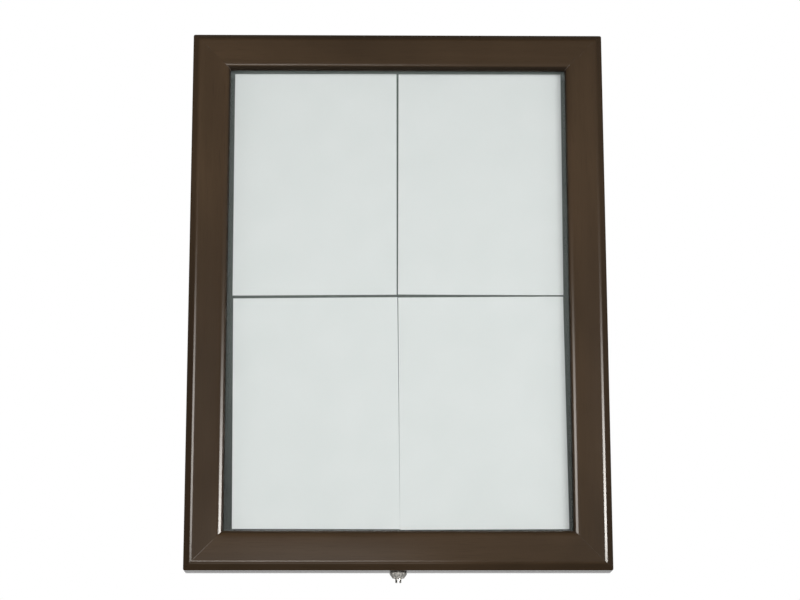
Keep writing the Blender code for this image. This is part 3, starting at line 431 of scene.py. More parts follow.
class Finish:
    """The shader nodes of one finish."""

    def __init__(self, owner):
        owner.use_nodes = True
        self.owner = owner
        self.tree = owner.node_tree
        self.tree.nodes.clear()

    def add(self, kind, settings=None, sockets=None, output=0):
        """A node of that kind: its settings come first, then the values or links of its sockets."""
        node = self.tree.nodes.new("ShaderNode" + kind)
        for name, value in (settings or {}).items():
            setattr(node, name, value)
        for name, value in (sockets or {}).items():
            if isinstance(value, Tone):
                self.tree.links.new(value.socket, node.inputs[name])
            else:
                node.inputs[name].default_value = value
        return Tone(self, node.outputs[output]) if node.outputs else None

    def place(self, stretch=(1, 1, 1), shift=(0, 0, 0)):
        """Object coordinates, stretched along the axes and shifted."""
        place = self.add("TexCoord", output="Object")
        return self.add("VectorMath", {"operation": "MULTIPLY_ADD"}, {0: place, 1: stretch, 2: shift})

    def axis(self, index):
        """One coordinate of the place, 0 for X, 1 for Y and 2 for Z."""
        return self.add("SeparateXYZ", {}, {0: self.place()}, index)

    def noise(self, scale, stretch=(1, 1, 1), detail=2.0, rough=0.5, bend=0.0, shift=(0, 0, 0)):
        """Even noise about one half, at a number of waves per metre."""
        sockets = {"Vector": self.place(stretch, shift), "Scale": scale, "Detail": detail,
                   "Roughness": rough, "Distortion": bend}
        return self.add("TexNoise", {}, sockets)

    def span(self, value, low, high, start=0.0, end=1.0):
        """A value drawn from the range low to high out to the range start to end."""
        sockets = {"Value": value, "From Min": low, "From Max": high, "To Min": start, "To Max": end}
        return self.add("MapRange", {}, sockets)

    def fade(self, value, low, high):
        """1 where the value is below the range low to high, falling to 0 above it."""
        return self.span(value, low, high, 1.0, 0.0)

    def mix(self, share, first, second):
        """Two colours mixed by a share: sockets 6 and 7 take colours, and output 2 gives one."""
        colours = {0: share}
        for slot, colour in ((6, first), (7, second)):
            colours[slot] = colour if isinstance(colour, Tone) else (*colour, 1)
        return self.add("Mix", {"data_type": "RGBA"}, colours, 2)

    def bump(self, height, depth):
        """Normals of a relief whose full height is the depth in metres."""
        return self.add("Bump", {}, {"Height": height, "Distance": depth, "Strength": 1.0})

    def shader(self, **sockets):
        """A Principled shader with its sockets named in small letters."""
        named = {}
        for name, value in sockets.items():
            title = name.replace("_", " ").title().replace("Ior", "IOR")
            colour = title in ("Base Color", "Emission Color")
            named[title] = (*value, 1) if colour and not isinstance(value, Tone) else value
        return self.add("BsdfPrincipled", {}, named)

    def close(self, shader):
        """Sends the shader to the output and returns what owns the nodes."""
        kind = "OutputWorld" if isinstance(self.owner, bpy.types.World) else "OutputMaterial"
        self.add(kind, sockets={"Surface": shader})
        return self.owner


def new_finish(name):
    """An empty finish for a material of that name."""
    return Finish(bpy.data.materials.new(name))


def lacquered_wood(name, grain, cloud_size, shift, pale, deep, matt_and_shaded_width, matt_and_shaded_foot):
    """Dark brown lacquer over wood whose grain runs along that axis, 0 for X and 2 for Z.

    Broad clouds between a deep and a pale tone lie under fine figure and pores. Beside the glass
    the lacquer is matt over the matt-and-shaded width, and its colour there is darkened as painted
    shade, less so below the matt-and-shaded foot. A painted highlight runs along the lower left
    mitre over most of its length, along the upper ones only in the moulding, and along the lower
    arris in front, strongest towards the left.
    """
    finish = new_finish(name)
    long_grain = [1.0, 1.0, 1.0]
    long_grain[grain] = 0.035
    cloud_grain = [1.0, 1.0, 1.0]
    cloud_scale, cloud_grain[grain] = cloud_size
    cloud = finish.span(finish.noise(cloud_scale, cloud_grain, detail=3.0, shift=shift), 0.34, 0.66)
    figure = finish.span(finish.noise(85, long_grain, detail=4.0, rough=0.6, bend=0.4), 0.3, 0.7)
    pores = finish.span(finish.noise(900, long_grain), 0.55, 0.75)
    ripple = finish.noise(260, detail=1.0)
    relief = figure * 0.2 + pores * -0.3 + ripple * 0.5
    brown = finish.mix(cloud, deep, pale)
    streaked = finish.mix(figure * 0.35, brown, (0.036, 0.0210, 0.0100))
    colour = finish.mix(pores * 0.35, streaked, (0.024, 0.0140, 0.0070))

    across, level, up = finish.axis(0), finish.axis(1), finish.axis(2)
    beside_glass = abs(across) - (HALF_WIDTH - RAIL_WIDTH)
    from_glass = beside_glass | (abs(up) - (HALF_HEIGHT - RAIL_WIDTH))
    # Matt lacquer beside the glass; the same mask also darkens the colour there as painted shade
    matt_and_shaded = finish.fade(from_glass, *matt_and_shaded_width)
    matt_and_shaded = matt_and_shaded * finish.span(up, matt_and_shaded_foot, matt_and_shaded_foot + 0.01, 0.55, 1.0)

    past_mitre = abs(up) - abs(across) - (HALF_HEIGHT - HALF_WIDTH)
    to_corner = across + up + (HALF_WIDTH + HALF_HEIGHT)
    lower_left = finish.span(to_corner, *MITRE_HIGHLIGHT_STARTS) * finish.fade(to_corner, *MITRE_HIGHLIGHT_ENDS)
    upper_moulding = finish.fade(from_glass, *MOULDING_EDGE) * finish.span(up, -0.1, 0.1)
    patches = finish.span(finish.noise(160), 0.40, 0.55, 0.4, 1.0)
    # Painted highlight along the lower left mitre, and along the upper mitres in the moulding
    mitre_highlight = finish.fade(abs(past_mitre), *MITRE_LINE) * patches * (lower_left | upper_moulding)

    in_front = finish.fade(level, *FRONT_SIDE) * finish.span(past_mitre, 0.0, MITRE_LINE[1])
    # Painted highlight along the lower arris in front, strongest towards the left
    arris_highlight = finish.fade(abs(up - ARRIS_HIGHLIGHT_HEIGHT), *ARRIS_HIGHLIGHT_LINE) * finish.fade(across, -0.10, 0.10)

    # Painted shade beside the glass, on the moulding and the lip
    colour = finish.mix(matt_and_shaded * 0.8, colour, (0.014, 0.010, 0.007))
    # Painted highlight along the mitres
    colour = finish.mix(mitre_highlight * 0.5, colour, HIGHLIGHT_TONE)
    # Painted highlight of the lower arris
    colour = finish.mix(arris_highlight * in_front * 0.45, colour, HIGHLIGHT_TONE)
    return finish.close(finish.shader(
        base_color=colour, roughness=0.50 + 0.10 * figure, specular_ior_level=0.05,
        coat_weight=(0.9 + 0.1 * cloud) * (1 - matt_and_shaded), coat_roughness=0.16, coat_ior=1.5,
        normal=finish.bump(relief, 0.00003)))


def beech(name):
    """Bare beech with short darker flecks."""
    finish = new_finish(name)
    figure = finish.span(finish.noise(120, (0.08, 1, 0.08), detail=4.0, rough=0.6), 0.3, 0.7)
    flecks = finish.span(finish.noise(700, (0.15, 1, 0.15), detail=1.0), 0.6, 0.7)
    colour = finish.mix(figure, (0.44, 0.29, 0.17), (0.34, 0.21, 0.11))
    colour = finish.mix(flecks * 0.5, colour, (0.22, 0.12, 0.06))
    return finish.close(finish.shader(base_color=colour, roughness=0.55 + 0.1 * figure,
                                      normal=finish.bump(figure - flecks, 0.00005)))


def clear_glass(name):
    """Float glass that lets shadow and diffuse rays straight through."""
    finish = new_finish(name)
    smear = finish.span(finish.noise(9, (1, 1, 0.5), detail=4.0, rough=0.6, bend=1.0), 0.4, 0.75)
    glass = finish.shader(base_color=(0.97, 0.985, 0.98), roughness=0.015 + 0.02 * smear,
                          transmission_weight=1.0, ior=1.5)
    passing = finish.add("BsdfTransparent", {}, {"Color": (0.93, 0.95, 0.945, 1)})
    shadow = finish.add("LightPath", output="Is Shadow Ray")
    diffuse = finish.add("LightPath", output="Is Diffuse Ray")
    return finish.close(finish.add("MixShader", {}, {0: shadow | diffuse, 1: glass, 2: passing}))


def rubber(name):
    """Matt black rubber with a dusty bloom."""
    finish = new_finish(name)
    bloom = finish.span(finish.noise(60, detail=4.0, rough=0.6), 0.4, 0.7)
    grit = finish.noise(1600, detail=1.0)
    colour = finish.mix(bloom, (0.016, 0.016, 0.016), (0.030, 0.030, 0.029))
    return finish.close(finish.shader(base_color=colour, roughness=0.62 + 0.2 * bloom,
                                      normal=finish.bump(grit, 0.00004)))


def panel_paint(name):
    """Dark grey-green sprayed paint on sheet steel, with painted shade low down and a painted pale band
    of light along the top.
    """
    finish = new_finish(name)
    cloud = finish.span(finish.noise(14, detail=3.0), 0.35, 0.65)
    skin = finish.noise(1100, rough=0.4)
    scuff = finish.span(finish.noise(55, (1, 1, 0.2), detail=5.0, rough=0.7, bend=0.6), 0.62, 0.8)
    height = finish.axis(2)
    colour = finish.mix(cloud, (0.072, 0.085, 0.077), (0.083, 0.096, 0.088))
    colour = finish.mix(scuff * 0.3, colour, (0.100, 0.114, 0.104))
    # Painted shade, darker low down
    colour = finish.mix(finish.span(height, -0.05, -0.25), colour, (0.022, 0.028, 0.024))
    # A painted pale band of reflected light along the top
    colour = finish.mix(finish.span(height, 0.292, 0.302), colour, (0.19, 0.215, 0.20))
    return finish.close(finish.shader(base_color=colour, roughness=0.42 + 0.18 * cloud,
                                      specular_ior_level=0.12, normal=finish.bump(skin, 0.00003)))


def paper(name):
    """Matt white sheet with a faint cloudy formation and fibres."""
    finish = new_finish(name)
    cloud = finish.span(finish.noise(24, detail=4.0, rough=0.55), 0.35, 0.65)
    fibre = finish.noise(1500, (1, 1, 0.5), rough=0.6)
    colour = finish.mix(cloud, (0.790, 0.793, 0.790), (0.815, 0.813, 0.812))
    return finish.close(finish.shader(base_color=colour, roughness=0.72 + 0.1 * fibre,
                                      specular_ior_level=0.3, normal=finish.bump(fibre, 0.00001)))


def hardboard(name):
    """Brown hardboard whose back keeps the weave of its press screen."""
    finish = new_finish(name)
    fibre = finish.noise(420, detail=5.0, rough=0.65, bend=0.8)
    cloud = finish.span(finish.noise(18, detail=3.0), 0.3, 0.7)
    sockets = {"Vector": finish.place(), "Scale": 160.0}
    upright_wires = finish.add("TexWave", {"bands_direction": "X"}, sockets, "Fac")
    level_wires = finish.add("TexWave", {"bands_direction": "Z"}, sockets, "Fac")
    weave = upright_wires * level_wires
    brown = finish.mix(finish.span(fibre, 0.3, 0.7), (0.115, 0.066, 0.036), (0.240, 0.155, 0.090))
    colour = finish.mix(cloud * 0.4, brown, (0.150, 0.088, 0.050))
    return finish.close(finish.shader(base_color=colour, roughness=0.70 + 0.15 * fibre,
                                      normal=finish.bump(weave * 0.6 + fibre * 0.4, 0.00025)))


def metal(name, light, dark, roughness, scratch, stretch=(1, 1, 1), metallic=1.0):
    """A metal with a cloudy tone and fine marks across the stretch; haze makes it less metallic."""
    finish = new_finish(name)
    cloud = finish.span(finish.noise(170, detail=3.0, rough=0.6), 0.3, 0.7)
    marks = finish.noise(2200, stretch, detail=3.0, rough=0.6)
    return finish.close(finish.shader(
        base_color=finish.mix(cloud, light, dark), metallic=metallic,
        roughness=roughness * (1 + cloud * 0.5) + marks * roughness * 0.3,
        normal=finish.bump(marks, scratch)))


RAIL_LACQUER = lacquered_wood(
    "dark_lacquer_across", grain=0, cloud_size=(6.5, 0.6), shift=(0.98, 2.61, 0.59),
    pale=(0.0693, 0.0421, 0.0218), deep=(0.0446, 0.0271, 0.0140),
    matt_and_shaded_width=(0.0030, 0.0046), matt_and_shaded_foot=0.0)
STILE_LACQUER = lacquered_wood(
    "dark_lacquer_upright", grain=2, cloud_size=(5.0, 0.4), shift=(3.35, -0.64, 2.85),
    pale=(0.0815, 0.0495, 0.0257), deep=(0.0333, 0.0202, 0.0105),
    matt_and_shaded_width=(0.0008, 0.0024), matt_and_shaded_foot=-0.5)
BEECH = beech("bare_beech")
GLASS = clear_glass("clear_glass")
RUBBER = rubber("black_rubber")
PANEL_PAINT = panel_paint("dark_panel_paint")
PAPER = paper("white_paper")
HARDBOARD = hardboard("brown_hardboard")
NICKEL = metal("polished_nickel", light=(0.74, 0.72, 0.68), dark=(0.66, 0.64, 0.60),
               roughness=0.09, scratch=0.000004)
HAZY_NICKEL = metal("hazy_nickel", light=(0.66, 0.64, 0.60), dark=(0.56, 0.54, 0.50),
                    roughness=0.20, scratch=0.000008, metallic=0.55)
ZINC = metal("zinc_plate", light=(0.60, 0.61, 0.62), dark=(0.46, 0.47, 0.49),
             roughness=0.30, scratch=0.000010)
BRASS = metal("brushed_brass", light=(0.62, 0.45, 0.19), dark=(0.50, 0.35, 0.14),
              roughness=0.22, scratch=0.000012, stretch=(0.04, 1, 1))


def lacquer(side):
    """The lacquer whose grain runs along that side."""
    return RAIL_LACQUER if side in ("top", "bottom") else STILE_LACQUER


def swollen(name, node, growth):
    """A closed copy of a CAD node whose points move out along their normals, used for cutting."""
    shape = bmesh.new()
    shape.from_mesh(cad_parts[node].data)
    bmesh.ops.remove_doubles(shape, verts=shape.verts, dist=1e-6)
    mesh = bpy.data.meshes.new(name)
    shape.to_mesh(mesh)
    shape.free()
    points = np.empty(3 * len(mesh.vertices))
    normals = np.empty_like(points)
    mesh.vertices.foreach_get("co", points)
    mesh.vertex_normals.foreach_get("vector", normals)
    mesh.vertices.foreach_set("co", points + growth * normals)
    tool = bpy.data.objects.new(name, mesh)
    bpy.context.scene.collection.objects.link(tool)
    return tool


def hinge_tools(kind, near, far):
    """Cutters along the top edge for the leaves of one kind, between two levels, and their knuckles."""
    tools = []
    for side in ("left", "right"):
        leaf = side + "_hinge_" + kind + "_leaf"
        tools.append(grown_box("mortise", leaf, CLEARANCE, low_y=near, high_y=far,
                               high_z=HALF_HEIGHT + OVERCUT))
        low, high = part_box(side + "_hinge_pin")
        start = (low.x - CLEARANCE, (low.y + high.y) / 2, (low.z + high.z) / 2)
        length = high.x - low.x + 2 * CLEARANCE
        tools.append(round_cutter("gain", KNUCKLE_RADIUS + CLEARANCE, 0, length, start, (1, 0, 0)))
    return tools


def door_rails():
    """Four lacquered rails of the door, cut for the mitre keys and the hinges."""
    section = door_section()
    for side in SIDES:
        name = "door_" + rail_name(side)
        rail = mitred_bar("lacquered_" + name, side, section)
        keys = [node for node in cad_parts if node.endswith("mitre_key")]
        if side in ("left", "right"):
            keys = [node for node in keys if side in node]
        else:
            keys = [node for node in keys if node.startswith("upper" if side == "top" else "lower")]
        tools = [swollen("key_slot", node, KEY_CLEARANCE) for node in keys]
        if side == "top":
            tools += hinge_tools("door", DOOR_BACK - LEAF_THICKNESS - CLEARANCE, DOOR_BACK + OVERCUT)
        combine(rail, "DIFFERENCE", *tools)
        fit(rail, "door", lacquer(side), "dark_lacquer", name)


def case_top_tools():
    """Cutters for the hinges, the hanger plates and the wall screws' heads behind these."""
    tools = hinge_tools("case", CASE_FRONT - OVERCUT, CASE_FRONT + LEAF_THICKNESS + CLEARANCE)
    for hand in ("left", "right"):
        plate = hand + "_hanger_plate"
        tools.append(grown_box("recess", plate, CLEARANCE, high_y=OVERCUT))
        centre = (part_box(plate)[0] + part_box(plate)[1]) / 2
        low = (centre.x - HEAD_ROOM_HALF_WIDTH, -HEAD_ROOM_DEPTH, centre.z - HEAD_ROOM_BELOW)
        high = (centre.x + HEAD_ROOM_HALF_WIDTH, OVERCUT, centre.z + HEAD_ROOM_ABOVE)
        tools.append(block("head_room", low, high))
    return tools


def case_bottom_tools():
    """Cutters for the lock's pocket and barrel and for the bumpers' seats."""
    pocket_low = (POCKET_LEFT, CASE_FRONT - OVERCUT, LOCK_WALL_TOP)
    pocket_high = (POCKET_RIGHT, CASE_FRONT + POCKET_DEPTH, LOCK_WALL_TOP + POCKET_HEIGHT)
    tools = [block("pocket", pocket_low, pocket_high)]
    tools.append(round_cutter("bore", BARREL_BORE_RADIUS, -OVERCUT, BARREL_BORE_DEPTH,
                              (0, LOCK_Y, -HALF_HEIGHT), (0, 0, 1)))
    for hand in ("left", "right"):
        low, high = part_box(hand + "_door_bumper")
        centre = ((low.x + high.x) / 2, CASE_FRONT, (low.z + high.z) / 2)
        tools.append(round_cutter("seat", BUMPER_SEAT_RADIUS, -OVERCUT, BUMPER_SEAT_DEPTH,
                                  centre, (0, 1, 0)))
    return tools


def case_rails():
    """Four lacquered rails of the case, cut for hinges, hangers, bumpers and the lock."""
    section = case_section()
    cutters = {"top": case_top_tools, "bottom": case_bottom_tools}
    for side in SIDES:
        name = "case_" + rail_name(side)
        rail = mitred_bar("lacquered_" + name, side, section)
        if side in cutters:
            combine(rail, "DIFFERENCE", *cutters[side]())
        fit(rail, "case", lacquer(side), "dark_lacquer", name)


def glazing_beads():
    """Four lacquered beads with eased edges, which hold the pane in the door."""
    section = bead_section()
    for side in SIDES:
        bead = mitred_bar("lacquered_" + side + "_bead", side, section)
        fit(bead, "door", lacquer(side), "dark_lacquer", side + "_glazing_bead")


def glass_pane():
    """The pane, flat on both faces, with its edges arrissed."""
    low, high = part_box("glass_pane")
    ease = 0.0004
    rings = []
    for level, inset in ((low.y, ease), (low.y + ease, 0), (high.y - ease, 0), (high.y, ease)):
        x, z = high.x - inset, high.z - inset
        rings.append([(-x, level, -z), (x, level, -z), (x, level, z), (-x, level, z)])
    pane = ring_solid("arrissed_pane", np.array(rings))
    fit(pane, "door", GLASS, "clear_glass", "glass_pane")


def rounded_square(half, radius, steps=4):
    """Outline of a square with rounded corners about the origin."""
    corners = half * np.array([(-1, -1), (1, -1), (1, 1), (-1, 1)])
    return rounded_corners(corners, [radius] * 4, steps).reshape(-1, 2)


def cross_tool(reach, width, depth):
    """A cross-shaped tool for a screw's recess, which narrows to half its size down the Z axis.

    Its outline is the three corners of one arm, turned about the axis by quarter turns.
    """
    arm = np.array([(width, reach), (-width, reach), (-width, width)]) / 2
    turn = np.arange(4)[:, None, None] * (math.pi / 2)
    x, y = arm[None, :, 0:1], arm[None, :, 1:2]
    turned_x = x * np.cos(turn) - y * np.sin(turn)
    turned_y = x * np.sin(turn) + y * np.cos(turn)
    outline = np.concatenate([turned_x, turned_y], axis=2).reshape(-1, 2)
    above_head = 0.0002
    rings = [np.column_stack([outline * share, np.full(len(outline), height)])
             for share, height in ((1.05, above_head), (1.0, 0), (0.5, -depth))]
    return ring_solid("cross", np.array(rings))


def screw_mesh(name, radius, length, head_height, shank, domed=False):
    """A wood screw whose head ends at the origin and whose tip lies down the Z axis.

    Its thread climbs once a pitch: radius = core + thread * (0.5 + 0.5 * cos(tau * height / pitch -
    angle)). A domed head is a quarter ellipse; a flat one has a cone below it.
    """
    if domed:
        turns = np.linspace(0, math.pi / 2, 8)
        head = np.column_stack([radius * np.sin(turns), head_height * (np.cos(turns) - 1)])
        head = np.concatenate([head, [(shank, -head_height)]])
    else:
        rim = 0.00008
        head = np.array([(0, 0), (radius - rim, 0), (radius, -rim), (shank, -head_height)])
    core_radius, thread = 0.78 * shank, 0.22 * shank
    heights = np.linspace(-head_height - THREAD_START, 1.6 * shank - length, THREAD_ROWS)
    thread_rows = np.column_stack([np.full(THREAD_ROWS, core_radius), heights])
    tip = np.array([(0.4 * shank, 0.6 * shank - length), (0, -length)])
    core = np.concatenate([head, thread_rows, tip])
    angle = np.arange(SCREW_SEGMENTS) * (math.tau / SCREW_SEGMENTS)
    ridge = 0.5 + 0.5 * np.cos(math.tau * core[:, 1:2] / THREAD_PITCH - angle)
    threaded = np.zeros((len(core), 1))
    threaded[len(head):-len(tip)] = thread
    reach = core[:, 0:1] + threaded * ridge
    rings = np.stack([reach * np.cos(angle), reach * np.sin(angle), core[:, 1:2] + 0 * angle], axis=-1)
    recess = cross_tool(1.25 * radius, 0.3 * radius, 0.5 * radius)
    return combine(ring_solid(name, rings), "DIFFERENCE", recess)


def aim(piece, point, axis, turn=0.0):
    """Moves a mesh made about the origin to a point, with its Z axis along the given one."""
    facing = Vector(axis).to_track_quat("Z", "Y").to_matrix().to_4x4()
    piece.data.transform(Matrix.Translation(point) @ facing @ Matrix.Rotation(turn, 4, "Z"))
    return piece


def node_screw(node, body, finish, slot, axis, size, turn, domed=False):
    """A detailed screw in place of a CAD node's, with its head towards the axis."""
    low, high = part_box(node)
    axis = Vector(axis)
    along = max(range(3), key=lambda index: abs(axis[index]))
    across = (along + 1) % 3
    point = (low + high) / 2
    point[along] = high[along] if axis[along] > 0 else low[along]
    radius = (high[across] - low[across]) / 2
    piece = screw_mesh("slotted_" + node, radius, high[along] - low[along], *size, domed)
    fit(aim(piece, point, axis, turn), body, finish, slot, node)


def screws():
    """Every screw that the frame has, each turned a little differently."""
    turn = 0.4
    turn_step = 0.9
    for side in ("left", "right"):
        for number in ("1", "2"):
            turn += turn_step
            node_screw(side + "_hinge_door_screw_" + number, "door", BRASS, "hinge_brass",
                       (0, 1, 0), HINGE_SCREW, turn)
            node_screw(side + "_hinge_case_screw_" + number, "case", BRASS, "hinge_brass",
                       (0, -1, 0), HINGE_SCREW, turn * 1.7)
            node_screw(side + "_hanger_screw_" + number, "case", ZINC, "zinc_steel",
                       (0, 1, 0), PLATE_SCREW, turn * 2.3)
    for number in ("1", "2"):
        turn += turn_step
        node_screw("strike_hook_screw_" + number, "door", ZINC, "zinc_steel",
                   (0, 1, 0), PLATE_SCREW, turn)
    node_screw("cam_screw", "lock", ZINC, "zinc_steel", (0, 0, 1), CAM_SCREW, 0.3, domed=True)


def panel_screws():
    """Eight domed screws at the sides of the panel, which the frame leaves out."""
    head_height = PLATE_SCREW[0]
    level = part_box("display_panel")[0].y - head_height
    heights = (-0.290, -0.098, 0.098, 0.290)
    places = [(across, height) for across in (-0.2282, 0.2282) for height in heights]
    for number, (x, z) in enumerate(places, 1):
        piece = screw_mesh("panel_screw_%d" % number, 0.0030, 0.0085, *PLATE_SCREW, domed=True)
        aim(piece, (x, level, z), (0, -1, 0), 0.7 * number)
        fit(piece, "case", ZINC, "zinc_steel")


def bead_brads():
    """Five brads along each bead, which the frame leaves out: round pins whose ends stand up a hair.

    Place = middle + radius * (sin t along the bead, cos t across it), with a level for each radius.
    """
    circle = np.arange(12) * (math.tau / 12)
    radius, flat_end, rise, length = 0.0008, 0.0006, 0.00006, 0.004
    profile = np.array([(0, rise), (flat_end, rise), (radius, 0), (radius, -length), (0, -length)])
    brad_line = RAIL_WIDTH - 0.0058
    inward = brad_line + profile[:, 0:1] * np.cos(circle)
    beside = profile[:, 0:1] * np.sin(circle)
    level = profile[:, 1:2] + DOOR_BACK + 0 * inward
    number = 0
    for side in SIDES:
        reach = HALF_WIDTH if side in ("top", "bottom") else HALF_HEIGHT
        for along in np.linspace(-0.78, 0.78, 5) * reach:
            number += 1
            rings = side_place(side, along + beside, inward, level)
            fit(ring_solid("bead_brad_%d" % number, rings), "door", ZINC, "zinc_steel")


def back_board():
    """The hardboard back with eased edges, and its screws sunk flush."""
    low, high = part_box("back_board")
    corners = [(low.x, low.z), (high.x, low.z), (high.x, high.z), (low.x, high.z)]
    outline = rounded_corners(corners, [0.001] * 4, 4).reshape(-1, 2)
    ease = 0.0003
    eased = 1 - ease * 4
    rings = []
    for level, share in ((low.y, eased), (low.y + ease, 1), (high.y - ease, 1), (high.y, eased)):
        flat = np.full(len(outline), level)
        rings.append(np.column_stack([outline[:, 0] * share, flat, outline[:, 1] * share]))
    board = ring_solid("screwed_back_board", np.array(rings))
    heights = (-0.300, -0.100, 0.100, 0.300)
    places = [(across, height) for across in (-0.2245, 0.2245) for height in heights]
    places += [(0.0, -0.3075), (0.0, 0.3075)]
    mouth, shaft, hole_depth = 0.0027, 0.0015, 0.004
    sunk = [(0, OVERCUT), (mouth, OVERCUT), (mouth, -0.0003), (shaft, -0.0015),
            (shaft, -hole_depth), (0, -hole_depth)]
    holes = []
    for number, (x, z) in enumerate(places, 1):
        holes.append(turned("hole", sunk, (x, 0, z), (0, 1, 0), 24))
        piece = screw_mesh("back_screw_%d" % number, 0.0025, 0.0100, *BACK_SCREW)
        aim(piece, (x, -0.0002, z), (0, 1, 0), 1.1 * number)
        fit(piece, "case", ZINC, "zinc_steel")
    combine(board, "DIFFERENCE", *holes)
    fit(board, "case", HARDBOARD, "hardboard", "back_board")


def sheet(name, corners, lift, curl):
    """A sheet between four corners, nearly flat on the panel.

    Place = the corners mixed evenly across u and up v; height off the panel = lift * (1 + sin(tau *
    (0.9u + 0.7v))) / 2 + curl * (2u - 1)^6 * (1 - v)^6, so that its lower corners stand up a little.
    """
    lower_left, lower_right, upper_left, upper_right = np.array(corners) / 1000
    across, up = np.meshgrid(np.linspace(0, 1, SHEET_COLUMNS), np.linspace(0, 1, SHEET_ROWS))
    u, v = across[..., None], up[..., None]
    foot = (1 - u) * lower_left + u * lower_right
    head = (1 - u) * upper_left + u * upper_right
    place = (1 - v) * foot + v * head
    wave = lift * (0.5 + 0.5 * np.sin(math.tau * (across * 0.9 + up * 0.7)))
    height = wave + curl * (2 * across - 1) ** 6 * (1 - up) ** 6
    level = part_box(name)[1].y - height
    points = np.stack([place[..., 0], level, place[..., 1]], axis=-1)
    mesh = bpy.data.meshes.new("paper_" + name)
    faces = grid_faces(SHEET_ROWS, SHEET_COLUMNS).tolist()
    mesh.from_pydata(points.reshape(-1, 3).tolist(), [], faces)
    piece = bpy.data.objects.new("paper_" + name, mesh)
    bpy.context.scene.collection.objects.link(piece)
    wall = piece.modifiers.new("thickness", "SOLIDIFY")
    wall.thickness = PAPER_THICKNESS
    wall.offset = 1.0
    settle(piece)
    fit(piece, "case", PAPER, "white_sheet", name)


def sheets():
    """Four sheets, each laid a little askew.

    Corners are (x, z) in millimetres: lower left, lower right, upper left and upper right.
    """
    sheet("upper_left_sheet", [(-210.3, 3.3), (-1.6, 4.8), (-211.3, 299.7), (-1.4, 300.6)],
          lift=0.0002, curl=0.0003)
    sheet("upper_right_sheet", [(0.1, 5.0), (210.9, 4.5), (1.3, 300.2), (212.5, 300.5)],
          lift=0.0001, curl=0.0008)
    sheet("lower_left_sheet", [(-206.6, -294.6), (2.2, -294.9), (-209.4, -0.5), (-0.7, 1.5)],
          lift=0.0002, curl=0.0002)
    sheet("lower_right_sheet", [(2.25, -295.7), (212.9, -294.8), (0.35, 1.1), (210.5, 2.6)],
          lift=0.0001, curl=0.0003)


def rosette():
    """The fluted bell round the lock: radius = R(height) - depth * |sin(flutes * angle / 2)|^1.5.

    R falls from the rim to the end by the share of the height to the power 1.6, the end is rolled
    in by a quarter circle, and the flutes run out at the rim and at the roll.
    """
    low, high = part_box("lock_rosette")
    rim = 0.0110
    end_radius = 0.0078
    roll = 0.0014
    hole = 0.00415
    hole_edge = 0.0003
    barrel = 0.0058
    top = high.z
    foot = low.z
    seat = -HALF_HEIGHT - ROSETTE_DEPTH
    share = np.linspace(0, 1, 15)
    bell_top = top - 0.0009
    bell = np.column_stack([rim - (rim - end_radius) * share ** 1.6,
                            bell_top + (foot + roll - bell_top) * share])
    turn = np.linspace(0, math.pi / 2, 7)[1:]
    lip = np.column_stack([end_radius - roll * (1 - np.cos(turn)), foot + roll * (1 - np.sin(turn))])
    edge = np.array([(barrel, top), (0.0100, top), (0.0106, top - 0.0002), (0.0109, top - 0.0005)])
    inside = np.array([(hole + hole_edge, foot), (hole, foot + hole_edge), (hole, seat), (barrel, seat)])
    profile = np.concatenate([edge, bell, lip, inside])
    depth = np.zeros(len(profile))
    bell_start = len(edge)
    lip_start = bell_start + len(bell)
    depth[bell_start:lip_start] = FLUTE_DEPTH * np.minimum(share * 8, 1)
    depth[lip_start:lip_start + len(lip)] = FLUTE_DEPTH * np.cos(turn) ** 2
    angle = np.arange(FLUTES * FLUTE_SEGMENTS) * (math.tau / (FLUTES * FLUTE_SEGMENTS))
    groove = np.abs(np.sin(angle * FLUTES / 2)) ** 1.5
    reach = profile[:, 0:1] - depth[:, None] * groove
    height = profile[:, 1:2] + 0 * angle
    rings = np.stack([reach * np.cos(angle), LOCK_Y + reach * np.sin(angle), height], axis=-1)
    bell_piece = ring_solid("fluted_rosette", rings, closed=True)
    smooth(bell_piece, 50)
    fit(bell_piece, "case", HAZY_NICKEL, "polished_nickel", "lock_rosette")


def spindle():
    """The turning nose with its rounded end and the slot for its key, and the square tang above."""
    low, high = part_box("lock_spindle")
    foot = low.z + HALF_HEIGHT
    top = high.z + HALF_HEIGHT
    axis_foot = (0, LOCK_Y, -HALF_HEIGHT)
    radius = 0.00385
    rounding = 0.0009
    turn = np.linspace(0, math.pi / 2, 7)
    edge = np.column_stack([radius - rounding + rounding * np.sin(turn),
                            foot + rounding * (1 - np.cos(turn))])
    groove = 0.0003
    stem, stem_top = 0.0034, top - 0.0022
    collar = np.array([(radius, -0.0083), (radius - groove, -0.0080), (radius - groove, -ROSETTE_DEPTH)])
    upper = np.array([(stem, -ROSETTE_DEPTH), (stem, stem_top), (0, stem_top)])
    profile = np.concatenate([[(0, foot)], edge, collar, upper])
    piece = turned("turning_nose", profile, axis_foot, (0, 0, 1), 64)

    outline = rounded_square(half=0.0018, radius=0.0002)
    tang = [np.column_stack([outline * share, np.full(len(outline), height)])
            for height, share in ((top - 0.0030, 1.0), (top - 0.0002, 1.0), (top, 0.9))]
    combine(piece, "UNION", ring_solid("tang", np.array(tang) + np.array(axis_foot)))

    slot_half_width, slot_half_length, slot_depth = 0.0013, 0.005, 0.006
    slot = block("slot", (-slot_half_width, LOCK_Y - slot_half_length, low.z - OVERCUT),
                 (slot_half_width, LOCK_Y + slot_half_length, low.z + slot_depth))
    screw_hole = round_cutter("hole", 0.0014, OVERCUT, -0.005, (0, LOCK_Y, high.z), (0, 0, 1), 24)
    combine(piece, "DIFFERENCE", slot, screw_hole)
    fit(piece, "lock", NICKEL, "polished_nickel", "lock_spindle")


